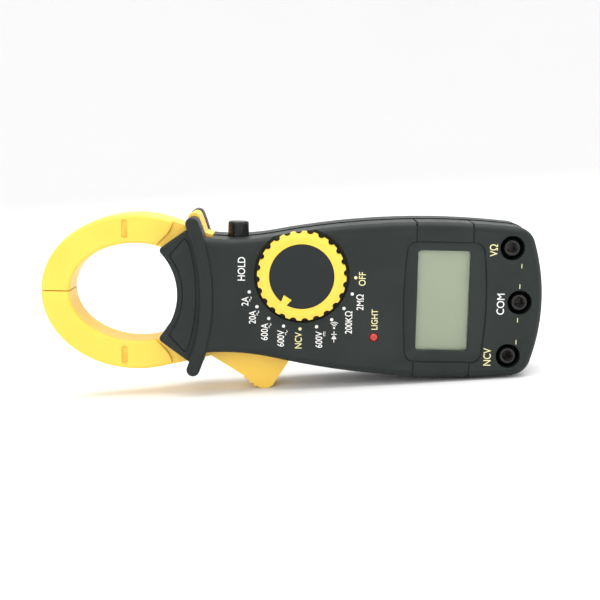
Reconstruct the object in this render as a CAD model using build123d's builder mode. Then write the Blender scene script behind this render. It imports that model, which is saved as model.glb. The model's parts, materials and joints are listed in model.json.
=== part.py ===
from build123d import *
import os
from math import cos, degrees, radians, sin, sqrt

# Pocket clamp meter, standing on its trigger side. Millimetres.
# X runs along the body from the jaws (-X) to the jacks (+X), the front face looks toward -Y, +Z is up.
# Every depth is a distance in front of the parting plane, where the two case shells and the two jaw
# shells meet. Sketches on face(depth) are drawn in X and in height above the body's axis.

axis_z = 37.4            # height of the body's axis, with the trigger's tip at Z = 0
part_y = 2.2             # Y of the parting plane

# ---- fits ----
touch = 0.02             # gap between pieces that lie on each other
fit = 0.05               # gap round a piece that is set into another
loose = 0.1              # gap round a shank or a tube that passes through a hole
far = 20.0               # long enough for any cut that leaves a piece
over = 1.0               # how far a cutting sketch reaches past the outline that it cuts

# ---- case ----
wall = 2.0
front_depth = 16.8       # front face
rear_depth = -16.2       # rear face
waist_x = -24.0          # narrowest place of the body
waist_r = 90.0
flank_x = 57.2           # widest place of the body
flank_half = 30.15
flank_r = 316.0
end_x = 97.05            # jack end of the front shell
end_r = 75.0
corner_r = 8.0
body_start_x = -34.0     # hidden under the guard
front_edge_r = 3.0
rear_edge_r = 4.0
rear_grow = 0.35         # how far the rear shell stands proud of the front one
seam_gap = 0.5           # shadow gap between the shells, along the depth
seam_deep = 0.8
seam_x0 = -29.0
seam_x1 = 121.0
band_half = 10.8         # half width of the band between the grooves beside the display
groove_w = 0.6
groove_deep = 0.55

# ---- nose and guard ----
nose_depth = 14.5
nose_wall = 1.8
nose_half = 17.3
nose_arc_r = 23.6
nose_arc_x = -67.2
nose_tip_x = nose_arc_x + sqrt(nose_arc_r**2 - nose_half**2)
nose_back_x = -34.0
nose_shoulder_x = -38.8
nose_shoulder_h = 26.2
nose_front_r = 1.0
nose_rear_r = 1.6
nose_tip_r = 1.6
neck_x0 = -36.5          # passage between the hollow nose and the hollow body
neck_x1 = -29.5
neck_half = 20.0
slot_depth = 8.0         # half thickness of the slot that the jaws leave the case by
slot_x0 = -59.7
slot_x1 = -30.3
island_gap = 0.45        # what lies inside the jaws' ring is this much smaller than its opening
trigger_slot_x0 = -31.0
trigger_slot_x1 = 3.4
trigger_slot_low = -36.2
trigger_slot_high = -19.8
guard_depth = 18.0
guard_w = 5.1
guard_mid_x = -31.95
guard_foot = (-37.0, -28.7)
front_guard_top = (-37.7, 27.7)
rear_guard_top = (-37.7, 29.3)
flange_gap = 0.3         # the fixed jaw's flange is this much smaller than the rear guard
flange_low = 15.0
guard_low = 8.0          # where a guard half starts, measured from the parting plane
guard_front_r = 1.3
guard_rear_r = 1.6
panel_margin = 2.0       # the label panel on the nose
panel_tip_h = 15.6
panel_shoulder = (-40.4, 22.6)
panel_back = (-38.6, 19.6)
panel_mid_x = -35.95
panel_corner_r = 0.8
panel_sink = 0.12
panel_groove = 0.6
panel_groove_w = 0.45

# ---- jaws ----
ring_x = -60.2           # centre of the ring that the closed jaws make
hole_a = 25.9            # its opening, half length and half height
hole_b = 19.2
ring_w = 11.3
jaw_half = 8.6           # half thickness of the jaws
jaw_inner_half = 7.6     # half thickness of what goes into the case
contact_gap = 0.15       # each jaw's distance from the contact plane
jaw_edge_r = 1.5
jaw_step_r = 0.6
jaw_tip_r = 0.4
jaw_shell = 1.8          # wall round the coil
coil_room = 6.2          # half thickness of the room for the coil
marker_x = -64.6
marker_h = 24.8
marker_len = 7.4
marker_w = 2.4
marker_sink = 0.6
core_w = 5.2
core_half = 4.0
sheet_count = 7
sheet_t = 1.0
sheet_joint = 0.1
coil_half = 5.6
coil_x0 = -73.0
coil_x1 = -47.5
cheek_t = 1.0            # the rib round the coil's middle
cheek_grow = 0.35
coil_inset = 2.25
pivot_x = -24.0
pivot_h = -14.0
split_h = -12.0          # height of the jaws' inner joint
hub_r = 5.5
hub_gap = 0.4
pin_r = 1.5
pin_half = 12.9
pin_seat = 5.6
pivot_boss_r = 3.4
trigger_room = 5.8       # half thickness of the hollow in the trigger
rib_r = 0.75
rib_sink = 0.5
spring_x = -9.0          # return spring between the trigger's back and a seat in the rear shell
spring_low = -18.7
spring_high = -8.6
spring_gap = 0.3
spring_pitch = 1.9
spring_r = 2.6
spring_wire_r = 0.28
seat_w = 8.0
seat_t = 1.4
seat_reach = 3.4         # how far the spring's seat stands past the parting plane

# ---- dial ----
dial_x = 4.4
dial_h = 8.9
dial_top = 20.6
dial_r = 17.0
recess_r = 18.3
dish_top = 14.4
dish_floor = 1.6
dish_wall = 1.6
hub_hole_r = 11.5
rim_gap = 0.3            # gap below the ring's rim and round its hub
rim_bevel = 0.9
rim_bevel_w = 2.2
hub_low = 12.62
hub_room_r = 9.0
hub_room_top = 18.2
cap_r = 12.35
cap_t = 1.1
cap_seat = 1.2
pointer_start = 9.6      # the pointer's tab, along its radius
pointer_reach = 0.5
pointer_half = (1.75, 1.15)
pointer_gap = 0.05
teeth = 24
tooth_r = 1.4
tooth_out = 0.35
pointer_angle = -122.5
detent_step = 18.27
detent_count = 10
dimple_r = 0.8
dimple_deep = 0.3
track_r = 13.7
ball_r = 1.2
ball_hole_r = 1.3
ball_hole_deep = 4.0
ring_spring_r = 1.1
ring_spring_w = 0.3
ring_spring_pitch = 0.45
ring_spring_low = 2.6
ring_spring_turns = 3
rotor_r = 13.5
rotor_t = 1.4
rotor_low = 11.2
rotor_tube_r = 8.95
rotor_tube_w = 1.55
rotor_tube_h = 4.5
rotor_hole_r = 3.0
brush_count = 3
brush_r = 5.0
brush_step = 2.6
brush_len = 5.0
brush_w = 1.2
brush_t = 0.28
brush_foot_r = 0.5

# ---- display ----
lcd_x = 58.7
lcd_w = 20.0
lcd_h = 38.7
bezel_top = 22.9
bezel_low = -24.0
bezel_left = 14.1
bezel_right = 15.0
bezel_left_bulge = 1.3
bezel_right_bulge = 1.8
bezel_corner_r = 4.0
bezel_sink = 0.5
bezel_line_w = 0.5
bezel_line_deep = 0.75
window_corner_r = 1.2
window_rim = 0.2
window_lap = 1.0         # how far the window reaches under the opening's edge
window_t = 1.2
window_seat = 0.15       # depth of the window's seat behind the face's wall
lcd_glass_w = 25.0
lcd_glass_h = 43.0
lcd_glass_t = 2.2
holder_w = 29.0
holder_h = 47.0
holder_lip = 0.8
zebra_x = 11.3
zebra_w = 2.0
zebra_h = 40.0

# ---- jacks ----
jack_places = {"v": (84.4, 20.9), "com": (88.0, 0.0), "ncv": (84.4, -20.9)}
well_r = 4.7
well_wall = 1.2
well_floor = 4.0
well_floor_t = 1.6
post_r = 3.2
post_top = 16.0
socket_r = 2.6
bore_r = 2.05
bore_end = 3.4
socket_top = 14.2
post_mouth_r = 2.25
post_bevel = 0.35
pin_hole_r = 1.35
tail_r = 1.3
tail_len = 1.8

# ---- boards ----
board_low = 8.4
board_t = 1.6
board_top = board_low + board_t
board_gap = 0.6
board_x0 = -14.5
board_x1 = 77.5
board_hole_gap = 0.6
jack_board_low = 0.6
jack_board_x0 = 79.4
jack_board_x1 = 94.0
jack_board_half = 28.0
blob_place = (37.0, 4.0)
blob_r = 7.0
blob_t = 1.6
blob_edge_r = 1.4
chip_places = ((20.0, 10.0), (20.0, -2.0), (62.0, 14.0))
chip_l = 5.0
chip_w = 4.0
chip_t = 1.5
leg_count = 4
leg_pitch = 1.27
leg_w = 0.4
leg_len = 1.2
capacitor_places = ((26.5, 17.2), (33.5, 21.0), (70.0, -17.0))
capacitor_r = 2.5
capacitor_h = 6.4
capacitor_edge_r = 0.4
resistor_corner = (48.0, -8.0)
resistor_pitch = (3.2, -3.0)
resistor_columns = 5
resistor_rows = 3
resistor_l = 2.0
resistor_w = 1.25
resistor_t = 0.55
trimmer_place = (30.0, -19.0)
trimmer_w = 6.4
trimmer_t = 4.0
trimmer_screw_r = 1.6
trimmer_screw_t = 0.4
fuse_places = (((64.0, 23.0), 4.0), ((72.0, 21.0), 3.2))
fuse_t = 3.0
buzzer_place = (44.0, -20.5)
buzzer_r = 5.0
buzzer_t = 5.0
buzzer_hole_r = 0.8

# ---- hold button ----
hold_x = -20.8
hold_top = 28.0
hold_r = 4.2
hold_room = 5.0          # depth of the hole for the button below the body's outline
hold_gap = 0.3
hold_taper = 1.0
hold_edge_r = 0.9
hold_flange = 1.1
hold_flange_t = 0.8
hold_flange_gap = 0.4
hold_stem_r = 1.5
hold_stem = 2.6
switch_w = 6.0
switch_corner_r = 0.4
switch_shift = 0.6
switch_h = 3.4
switch_stem_r = 1.4
switch_travel = 1.3
hold_board_x = -17.8
hold_board_h = 8.6
hold_board_l = 10.0
hold_board_w = 14.0

# ---- indicator ----
led_x = 32.5
led_h = -14.6
led_r = 1.65
led_foot_r = 1.95
led_foot_t = 1.0
led_proud = 0.7
led_dome_r = 1.3

# ---- battery bay ----
cell_r = 5.2
cell_len = 44.5
cell_h = 5.7             # height of a cell's axis above or below the body's axis
cell_edge_r = 0.5
nub_r = 1.8
nub_len = 0.7
plate_gap = 0.9          # between the bay's end and a cell's nub end
spring_room = 4.7
bay_x0 = 26.0
bay_x1 = 76.5
bay_half = 11.4
bay_floor = -2.6
bay_wall = 1.4
contact_w = 8.0
contact_h = 9.0
contact_t = 0.14
contact_foot_t = 0.3
contact_turns = 5
contact_r = 3.4
contact_step = 0.35
contact_wire = 0.55
contact_pitch = 0.7
contact_turn_t = 0.72
cell_depth = -8.5
door_x0 = 20.0
door_x1 = 84.0
door_half = 14.4
door_t = 1.8
door_gap = 0.25
door_corner_r = 0.8
door_boss_len = 6.0
hook_lap = 1.6
hook_room = 6.0
ledge_low = -11.5
ledge_t = 2.9
ledge_lap = 0.8
hook_places = (-8.0, 8.0)
hook_w = 4.0
hook_t = 1.25
hook_len = 3.6
hook_rise = 1.9
door_rib_x = 34.0
door_ribs = 5
door_rib_pitch = 2.4
door_rib_len = 13.0
door_rib_w = 1.0
door_rib_deep = 0.4
door_screw_x = 80.8
door_head_r = 2.3
door_head_t = 0.76
door_screw_tip = -9.4
door_boss_r = 2.8

# ---- screws ----
boss_r = 3.0
rear_boss_r = 3.3
shank_r = 1.4
head_r = 2.4
head_t = 1.4
head_seat = -11.6
head_seat_r = 2.7
screw_tip = 6.5
cross_l = 2.6
cross_w = 0.55
cross_deep = 0.57        # depth of the cross recess, as a share of the head's thickness
screw_room = 10.0
plate_place = (-6.0, 2.0)
plate_l = 28.0
plate_w = 26.0
plate_sink = 0.3
screw_places = [(-38.2, 0.0), (14.0, -20.5), (20.5, 23.2), (91.6, 11.2), (91.6, -11.2)]

os.makedirs("parts", exist_ok=True)
finished = []


def keep(part, name):
    """Label a finished piece and remember it for the export at the end."""
    part.label = name
    finished.append(part)


def face(depth):
    """The plane parallel to the front face, at a depth in front of the parting plane."""
    return Plane(origin=(0, part_y - depth, axis_z), x_dir=(1, 0, 0), z_dir=(0, -1, 0))


def level(height, x=0.0, depth=0.0):
    """A horizontal plane at a height above the body's axis, looking up."""
    return Plane(origin=(x, part_y - depth, axis_z + height), x_dir=(1, 0, 0), z_dir=(0, 0, 1))


def across(x, height=0.0, depth=0.0):
    """A plane square to the body's axis; its x runs toward the rear and its y runs up."""
    return Plane(origin=(x, part_y - depth, axis_z + height), x_dir=(0, 1, 0), z_dir=(1, 0, 0))


# ============================ shared outlines ============================

# The waist's hollow arc and the flank's full arc are tangent.
flank_cz = flank_half - flank_r
waist_cz = flank_cz + sqrt((waist_r + flank_r) ** 2 - (flank_x - waist_x) ** 2)
blend_share = waist_r / (waist_r + flank_r)
end_cx = end_x - end_r


def flank(x, inset=0.0):
    """Half width of the body at x, or of a line inset from its outline."""
    if x < waist_x + (flank_x - waist_x) * blend_share:
        return waist_cz - sqrt((waist_r + inset) ** 2 - (x - waist_x) ** 2)
    return flank_cz + sqrt((flank_r - inset) ** 2 - (x - flank_x) ** 2)


def end_corner(inset):
    """Where the flank's arc and the jack end's arc cross."""
    flank_arc = flank_r - inset
    end_arc = end_r - inset
    span = sqrt((flank_x - end_cx) ** 2 + flank_cz**2)
    along = (flank_arc**2 - end_arc**2 + span**2) / (2 * span)
    off = sqrt(flank_arc**2 - along**2)
    way_x = (end_cx - flank_x) / span
    way_h = -flank_cz / span
    return (flank_x + along * way_x + off * way_h, flank_cz + along * way_h - off * way_x)


def body_sketch(inset=0.0):
    """The body's outline, or a line inset from it, as a face."""
    start_x = body_start_x + inset
    start_h = flank(start_x, inset)
    blend_x = waist_x + (flank_x - waist_x) * (waist_r + inset) / (waist_r + flank_r)
    blend_h = waist_cz - sqrt((waist_r + inset) ** 2 - (blend_x - waist_x) ** 2)
    corner_x, corner_h = end_corner(inset)
    with BuildSketch(mode=Mode.PRIVATE) as outline:
        with BuildLine():
            for way in (1, -1):
                ThreePointArc(
                    (start_x, way * start_h),
                    (waist_x, way * (waist_cz - waist_r - inset)),
                    (blend_x, way * blend_h),
                )
                ThreePointArc(
                    (blend_x, way * blend_h),
                    (flank_x, way * (flank_half - inset)),
                    (corner_x, way * corner_h),
                )
            ThreePointArc((corner_x, corner_h), (end_x - inset, 0), (corner_x, -corner_h))
            Line((start_x, -start_h), (start_x, start_h))
        make_face()
        fillet(outline.vertices().sort_by(Axis.X)[-2:], radius=corner_r - inset)
    return outline.sketch


# The nose: a hollow arc between the jaws, two corners and two slanted sides.
nose_slope = (nose_shoulder_h - nose_half) / (nose_shoulder_x - nose_tip_x)


def nose_sketch(inset=0.0):
    """The nose's outline, or a line inset from it, as a face."""
    arc_r = nose_arc_r + inset
    drop = inset * sqrt(1 + nose_slope**2)
    side_h = nose_half - drop - nose_slope * (nose_tip_x - nose_arc_x)
    # Where the slanted side meets the hollow arc, measured from the arc's centre.
    bend = 1 + nose_slope**2
    half_b = nose_slope * side_h
    tip = (-half_b + sqrt(half_b**2 - bend * (side_h**2 - arc_r**2))) / bend
    tip_x = nose_arc_x + tip
    tip_h = side_h + nose_slope * tip
    shoulder_h = nose_shoulder_h - inset
    shoulder_x = nose_arc_x + (shoulder_h - side_h) / nose_slope
    with BuildSketch(mode=Mode.PRIVATE) as outline:
        with BuildLine():
            ThreePointArc((tip_x, tip_h), (nose_arc_x + arc_r, 0), (tip_x, -tip_h))
            Polyline(
                (tip_x, -tip_h),
                (shoulder_x, -shoulder_h),
                (nose_back_x, -shoulder_h),
                (nose_back_x, shoulder_h),
                (shoulder_x, shoulder_h),
                (tip_x, tip_h),
            )
        make_face()
        if inset == 0:
            fillet(outline.vertices().group_by(Axis.X)[0], radius=nose_tip_r)
    return outline.sketch


def guard_sketch(top, grow=0.0):
    """The guard's bar: an arc that bulges toward the body, from its foot to its top, with round ends."""
    with BuildSketch(mode=Mode.PRIVATE) as bar:
        with BuildLine(mode=Mode.PRIVATE) as middle:
            ThreePointArc(guard_foot, (guard_mid_x, 0), top)
        SlotArc(middle.edges()[0], guard_w + 2 * grow)
    return bar.sketch


def ring_sketch(inner, outer):
    """An elliptical band of the jaws' ring, between two distances from its opening."""
    with BuildSketch(mode=Mode.PRIVATE) as band:
        with Locations((ring_x, 0)):
            Ellipse(hole_a + outer, hole_b + outer)
            Ellipse(hole_a + inner, hole_b + inner, mode=Mode.SUBTRACT)
    return band.sketch


# ============================ case shells ============================

def guard_half_part(top, start, end, edge_r):
    """One half of the raised hand guard, rounded on its outer face."""
    with BuildPart(mode=Mode.PRIVATE) as guard:
        with BuildSketch(face(start)):
            add(guard_sketch(top))
        extrude(amount=end - start)
        outer = guard.faces().sort_by(Axis.Y)[0 if end > 0 else -1]
        fillet(outer.edges(), radius=edge_r)
    return guard.part


def nose_part(depth, edge_r):
    """The nose as a block from the parting plane to its face, its outer edges rounded."""
    with BuildPart(mode=Mode.PRIVATE) as nose:
        with BuildSketch(face(0)):
            add(nose_sketch())
        extrude(amount=depth)
        outer = nose.faces().sort_by(Axis.Y)[0 if depth > 0 else -1]
        inner_edges = outer.edges().filter_by(Axis.Z).sort_by(Axis.X)[-1]
        fillet([edge for edge in outer.edges() if edge != inner_edges], radius=edge_r)
    return nose.part


def hollow_shell(side, depth):
    """Subtract a case shell's inside; side is 1 for the front shell and -1 for the rear one."""
    with BuildSketch(face(0)) as outline:
        add(body_sketch(wall))
    extrude(outline.sketch, amount=side * (abs(depth) - wall), mode=Mode.SUBTRACT)
    nose_inside = side * (nose_depth - nose_wall)
    with BuildSketch(face(0)) as outline:
        add(nose_sketch(nose_wall))
    extrude(outline.sketch, amount=nose_inside, mode=Mode.SUBTRACT)
    with BuildSketch(face(0)) as outline:
        with Locations(((neck_x0 + neck_x1) / 2, 0)):
            Rectangle(neck_x1 - neck_x0, 2 * neck_half)
    extrude(outline.sketch, amount=nose_inside, mode=Mode.SUBTRACT)
    # The jaws leave the case through this slot; only what lies inside their ring is left.
    with BuildSketch(face(0)) as outline:
        with Locations(((slot_x0 + slot_x1) / 2, 0)):
            Rectangle(slot_x1 - slot_x0, 4 * neck_half)
        with Locations((ring_x, 0)):
            Ellipse(hole_a - island_gap, hole_b - island_gap, mode=Mode.SUBTRACT)
    extrude(outline.sketch, amount=side * slot_depth, mode=Mode.SUBTRACT)
    with BuildSketch(face(0)) as outline:
        with Locations(
            ((trigger_slot_x0 + trigger_slot_x1) / 2, (trigger_slot_low + trigger_slot_high) / 2)
        ):
            Rectangle(trigger_slot_x1 - trigger_slot_x0, trigger_slot_high - trigger_slot_low)
    extrude(outline.sketch, amount=side * slot_depth, mode=Mode.SUBTRACT)


def pivot_boss(side, depth):
    """The boss that holds one end of the jaws' pivot pin."""
    with BuildSketch(face(side * (jaw_inner_half + hub_gap))) as outline:
        with Locations((pivot_x, pivot_h)):
            Circle(pivot_boss_r)
    extrude(outline.sketch, amount=side * (abs(depth) - wall - jaw_inner_half))
    with BuildSketch(face(side * (jaw_inner_half + hub_gap - loose))) as outline:
        with Locations((pivot_x, pivot_h)):
            Circle(pin_r + fit)
    extrude(outline.sketch, amount=side * pin_seat, mode=Mode.SUBTRACT)


def button_hole():
    """The half round hole for the hold button and the room for its flange."""
    with BuildSketch(level(flank(hold_x) - hold_room, hold_x)) as outline:
        Circle(hold_r + hold_gap)
    extrude(outline.sketch, amount=far, mode=Mode.SUBTRACT)


def band_grooves():
    """Two grooves on each side of the display, from its frame over the edge to the parting plane."""
    for groove_x in (lcd_x - band_half, lcd_x + band_half):
        for way, frame_edge in ((1, bezel_top), (-1, -bezel_low)):
            edge_h = flank(groove_x)
            with BuildSketch(face(front_depth - groove_deep)) as outline:
                with Locations((groove_x, way * (frame_edge + edge_h) / 2)):
                    Rectangle(groove_w, edge_h - frame_edge + over)
            extrude(outline.sketch, amount=2 * groove_deep, mode=Mode.SUBTRACT)
            with BuildSketch(face(0)) as outline:
                add(body_sketch(-over))
                add(body_sketch(groove_deep), mode=Mode.SUBTRACT)
                with Locations((groove_x, way * edge_h)):
                    Rectangle(groove_w, 6 * over, mode=Mode.INTERSECT)
            extrude(outline.sketch, amount=front_depth - front_edge_r, mode=Mode.SUBTRACT)
            # The front edge is rounded, so the groove bites deeper there.
            with BuildSketch(face(front_depth - front_edge_r - touch)) as outline:
                add(body_sketch(-over))
                add(body_sketch(groove_deep + 0.3 * front_edge_r), mode=Mode.SUBTRACT)
                with Locations((groove_x, way * edge_h)):
                    Rectangle(groove_w, 8 * over, mode=Mode.INTERSECT)
            extrude(outline.sketch, amount=front_edge_r, mode=Mode.SUBTRACT)


def bezel_sketch(inset=0.0):
    """The display's frame: straight above and below, bulging to the left and right."""
    left = lcd_x - bezel_left + inset
    right = lcd_x + bezel_right - inset
    top = bezel_top - inset
    low = bezel_low + inset
    middle = (top + low) / 2
    with BuildSketch(mode=Mode.PRIVATE) as outline:
        with BuildLine():
            Line((left, top), (right, top))
            ThreePointArc((right, top), (right + bezel_right_bulge, middle), (right, low))
            Line((right, low), (left, low))
            ThreePointArc((left, low), (left - bezel_left_bulge, middle), (left, top))
        make_face()
        fillet(outline.vertices(), radius=bezel_corner_r - inset)
    return outline.sketch


def panel_sketch(inset=0.0):
    """The nose's label panel, between the hollow arc and the guard, or a smaller one inside it."""
    arc_r = nose_arc_r + panel_margin + inset
    tip_h = panel_tip_h - inset
    tip_x = nose_arc_x + sqrt(arc_r**2 - tip_h**2)
    shoulder = (panel_shoulder[0] - inset * 0.3, panel_shoulder[1] - inset * 1.2)
    back = (panel_back[0] - inset, panel_back[1] - inset * 0.4)
    with BuildSketch(mode=Mode.PRIVATE) as outline:
        with BuildLine():
            ThreePointArc((tip_x, tip_h), (nose_arc_x + arc_r, 0), (tip_x, -tip_h))
            Polyline((tip_x, -tip_h), (shoulder[0], -shoulder[1]), (back[0], -back[1]))
            ThreePointArc((back[0], -back[1]), (panel_mid_x - inset, 0), back)
            Polyline(back, shoulder, (tip_x, tip_h))
        make_face()
        fillet(outline.vertices(), radius=panel_corner_r)
    return outline.sketch


with BuildPart() as front_case:
    with BuildSketch(face(0)):
        add(body_sketch())
    extrude(amount=front_depth)
    front_edges = front_case.faces().sort_by(Axis.Y)[0].edges()
    fillet([edge for edge in front_edges if edge.center().X > body_start_x + 1], front_edge_r)
    add(nose_part(nose_depth, nose_front_r))
    add(guard_half_part(front_guard_top, guard_low, guard_depth, guard_front_r))
    hollow_shell(1, front_depth)
    pivot_boss(1, front_depth)

    # Screw bosses.
    for place in screw_places:
        inner_depth = nose_depth - nose_wall if place[0] < nose_back_x else front_depth - wall
        with BuildSketch(face(fit)):
            with Locations(place):
                Circle(boss_r)
        extrude(amount=inner_depth)
        with BuildSketch(face(-over)):
            with Locations(place):
                Circle(shank_r + loose)
        extrude(amount=screw_room, mode=Mode.SUBTRACT)

    # Dial dish: a round floor under a recess that breaks into the upper edge.
    with BuildSketch(face(dish_top - dish_floor)):
        with Locations((dial_x, dial_h)):
            Circle(recess_r + dish_wall)
        add(body_sketch(wall / 4), mode=Mode.INTERSECT)
    extrude(amount=front_depth - 0.75 * wall - dish_top + dish_floor)
    with BuildSketch(face(dish_top)):
        with Locations((dial_x, dial_h)):
            Circle(recess_r)
    extrude(amount=far, mode=Mode.SUBTRACT)
    with BuildSketch(face(dish_top - 2 * dish_floor)):
        with Locations((dial_x, dial_h)):
            Circle(hub_hole_r)
    extrude(amount=far, mode=Mode.SUBTRACT)
    # Dimples for the two detent balls.
    for ball_angle in (pointer_angle + 90, pointer_angle - 90):
        for stop in range(detent_count):
            turn = radians(ball_angle - pointer_angle - stop * detent_step)
            with BuildSketch(face(dish_top - dimple_deep)):
                with Locations((dial_x + track_r * cos(turn), dial_h + track_r * sin(turn))):
                    Circle(dimple_r)
            extrude(amount=2 * dimple_deep, mode=Mode.SUBTRACT)

    # Display: sunken barrel-shaped bezel, its outline groove and the window's opening.
    with BuildSketch(face(front_depth - bezel_sink)):
        add(bezel_sketch(bezel_line_w))
    extrude(amount=over, mode=Mode.SUBTRACT)
    with BuildSketch(face(front_depth - bezel_line_deep)):
        add(bezel_sketch())
        add(bezel_sketch(bezel_line_w), mode=Mode.SUBTRACT)
    extrude(amount=over, mode=Mode.SUBTRACT)
    with BuildSketch(face(board_top)):
        with Locations((lcd_x, 0)):
            RectangleRounded(lcd_w, lcd_h, window_corner_r)
    extrude(amount=far, mode=Mode.SUBTRACT)
    frame_y = part_y - front_depth + bezel_sink
    rim_edges = [
        edge
        for edge in front_case.edges().filter_by_position(Axis.Y, frame_y - touch, frame_y + touch)
        if abs(edge.center().X - lcd_x) < lcd_w / 2 + window_rim
        and abs(edge.center().Z - axis_z) < lcd_h / 2 + window_rim
    ]
    chamfer(rim_edges, length=window_rim)
    with BuildSketch(face(front_depth - wall)):
        with Locations((lcd_x, 0)):
            RectangleRounded(
                lcd_w + 2 * (window_lap + loose),
                lcd_h + 2 * (window_lap + loose),
                window_corner_r + 4 * loose,
            )
    extrude(amount=window_seat + fit, mode=Mode.SUBTRACT)
    band_grooves()

    # Label panel on the nose: a face sunk a little, inside a deeper groove.
    with BuildSketch(face(nose_depth - panel_sink)):
        add(panel_sketch())
    extrude(amount=over, mode=Mode.SUBTRACT)
    with BuildSketch(face(nose_depth - panel_groove)):
        add(panel_sketch())
        add(panel_sketch(panel_groove_w), mode=Mode.SUBTRACT)
    extrude(amount=over, mode=Mode.SUBTRACT)

    # Jack wells: tubes that hang from the face, with a floor for each post.
    with BuildSketch(face(well_floor - well_floor_t)):
        for place in jack_places.values():
            with Locations(place):
                Circle(well_r + well_wall)
        add(body_sketch(wall / 4), mode=Mode.INTERSECT)
    extrude(amount=front_depth - wall / 2 - well_floor + well_floor_t)
    with BuildSketch(face(well_floor)):
        for place in jack_places.values():
            with Locations(place):
                Circle(well_r)
    extrude(amount=far, mode=Mode.SUBTRACT)
    with BuildSketch(face(0)):
        for place in jack_places.values():
            with Locations(place):
                Circle(socket_r + loose)
    extrude(amount=far, mode=Mode.SUBTRACT)

    # Indicator hole.
    with BuildSketch(face(board_top)):
        with Locations((led_x, led_h)):
            Circle(led_r + loose)
    extrude(amount=far, mode=Mode.SUBTRACT)

    button_hole()
    # The parting plane stays flat.
    split(bisect_by=face(0), keep=Keep.TOP)
keep(front_case.part, "front_case")


with BuildPart() as rear_case:
    with BuildSketch(face(0)):
        add(body_sketch(-rear_grow))
    extrude(amount=rear_depth)
    rear_edges = rear_case.faces().sort_by(Axis.Y)[-1].edges()
    fillet([edge for edge in rear_edges if edge.center().X > body_start_x + 1], rear_edge_r)
    add(nose_part(-nose_depth, nose_rear_r))
    add(guard_half_part(rear_guard_top, -guard_low, rear_depth, guard_rear_r))
    hollow_shell(-1, rear_depth)
    pivot_boss(-1, rear_depth)

    # Battery bay: a box with a floor toward the boards, open toward the rear.
    with BuildSketch(face(bay_floor + bay_wall)):
        with Locations(((bay_x0 + bay_x1) / 2, 0)):
            Rectangle(bay_x1 - bay_x0 + 2 * bay_wall, 2 * (bay_half + bay_wall))
    extrude(amount=rear_depth + wall - bay_floor - bay_wall)
    with BuildSketch(face(ledge_low)):
        with Locations(((bay_x1 + door_x1 + ledge_lap) / 2, 0)):
            Rectangle(door_x1 + ledge_lap - bay_x1, 2 * (door_half + ledge_lap))
    extrude(amount=-ledge_t)
    with BuildSketch(face(-door_boss_len)):
        with Locations((door_screw_x, 0)):
            Circle(door_boss_r)
    extrude(amount=-door_boss_len)
    with BuildSketch(face(bay_floor)):
        with Locations(((bay_x0 + bay_x1) / 2, 0)):
            Rectangle(bay_x1 - bay_x0, 2 * bay_half)
    extrude(amount=-far, mode=Mode.SUBTRACT)
    # Door opening, and the ledge that the door lies on.
    with BuildSketch(face(rear_depth + door_t)):
        with Locations(((door_x0 + door_x1) / 2, 0)):
            RectangleRounded(door_x1 - door_x0, 2 * door_half, door_corner_r + door_gap - fit)
    extrude(amount=-far, mode=Mode.SUBTRACT)
    with BuildSketch(face(-door_boss_len - over)):
        with Locations((door_screw_x, 0)):
            Circle(shank_r + 0.3 * head_t)
    extrude(amount=-far, mode=Mode.SUBTRACT)
    # The door's hooks reach in under this edge.
    for hook_h in hook_places:
        with BuildSketch(face(rear_depth + wall + 4 * loose)):
            with Locations((door_x0 + hook_lap, hook_h)):
                Rectangle(hook_room, hook_w + over)
        extrude(amount=-over, mode=Mode.SUBTRACT)

    # Screw bosses with seats for the heads.
    for place in screw_places:
        inner_depth = nose_depth - nose_wall if place[0] < nose_back_x else -rear_depth - wall
        with BuildSketch(face(-fit)):
            with Locations(place):
                Circle(rear_boss_r)
        extrude(amount=-inner_depth)
        with BuildSketch(face(0)):
            with Locations(place):
                Circle(shank_r + loose + fit)
        extrude(amount=-far, mode=Mode.SUBTRACT)
        with BuildSketch(face(head_seat)):
            with Locations(place):
                Circle(head_seat_r)
        extrude(amount=-far, mode=Mode.SUBTRACT)

    # Rating plate pocket on the back.
    with BuildSketch(face(rear_depth + plate_sink)):
        with Locations(plate_place):
            RectangleRounded(plate_l, plate_w, wall)
    extrude(amount=-over, mode=Mode.SUBTRACT)
    button_hole()
    # Shadow gap along the seam.
    with BuildSketch(face(0)):
        add(body_sketch(-rear_grow - over))
        add(body_sketch(seam_deep - rear_grow), mode=Mode.SUBTRACT)
        with Locations(((seam_x0 + seam_x1) / 2, 0)):
            Rectangle(seam_x1 - seam_x0, 4 * flank_half, mode=Mode.INTERSECT)
    extrude(amount=-seam_gap, mode=Mode.SUBTRACT)
    split(bisect_by=face(0), keep=Keep.BOTTOM)
    # Seat for the return spring: a rib that stands a little past the parting plane.
    with BuildSketch(face(rear_depth + wall / 2)):
        with Locations((spring_x, spring_high + fit + seat_t / 2)):
            Rectangle(seat_w, seat_t)
    extrude(amount=-rear_depth - wall / 2 + seat_reach)
keep(rear_case.part, "rear_case")


# ============================ battery door ============================

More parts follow.
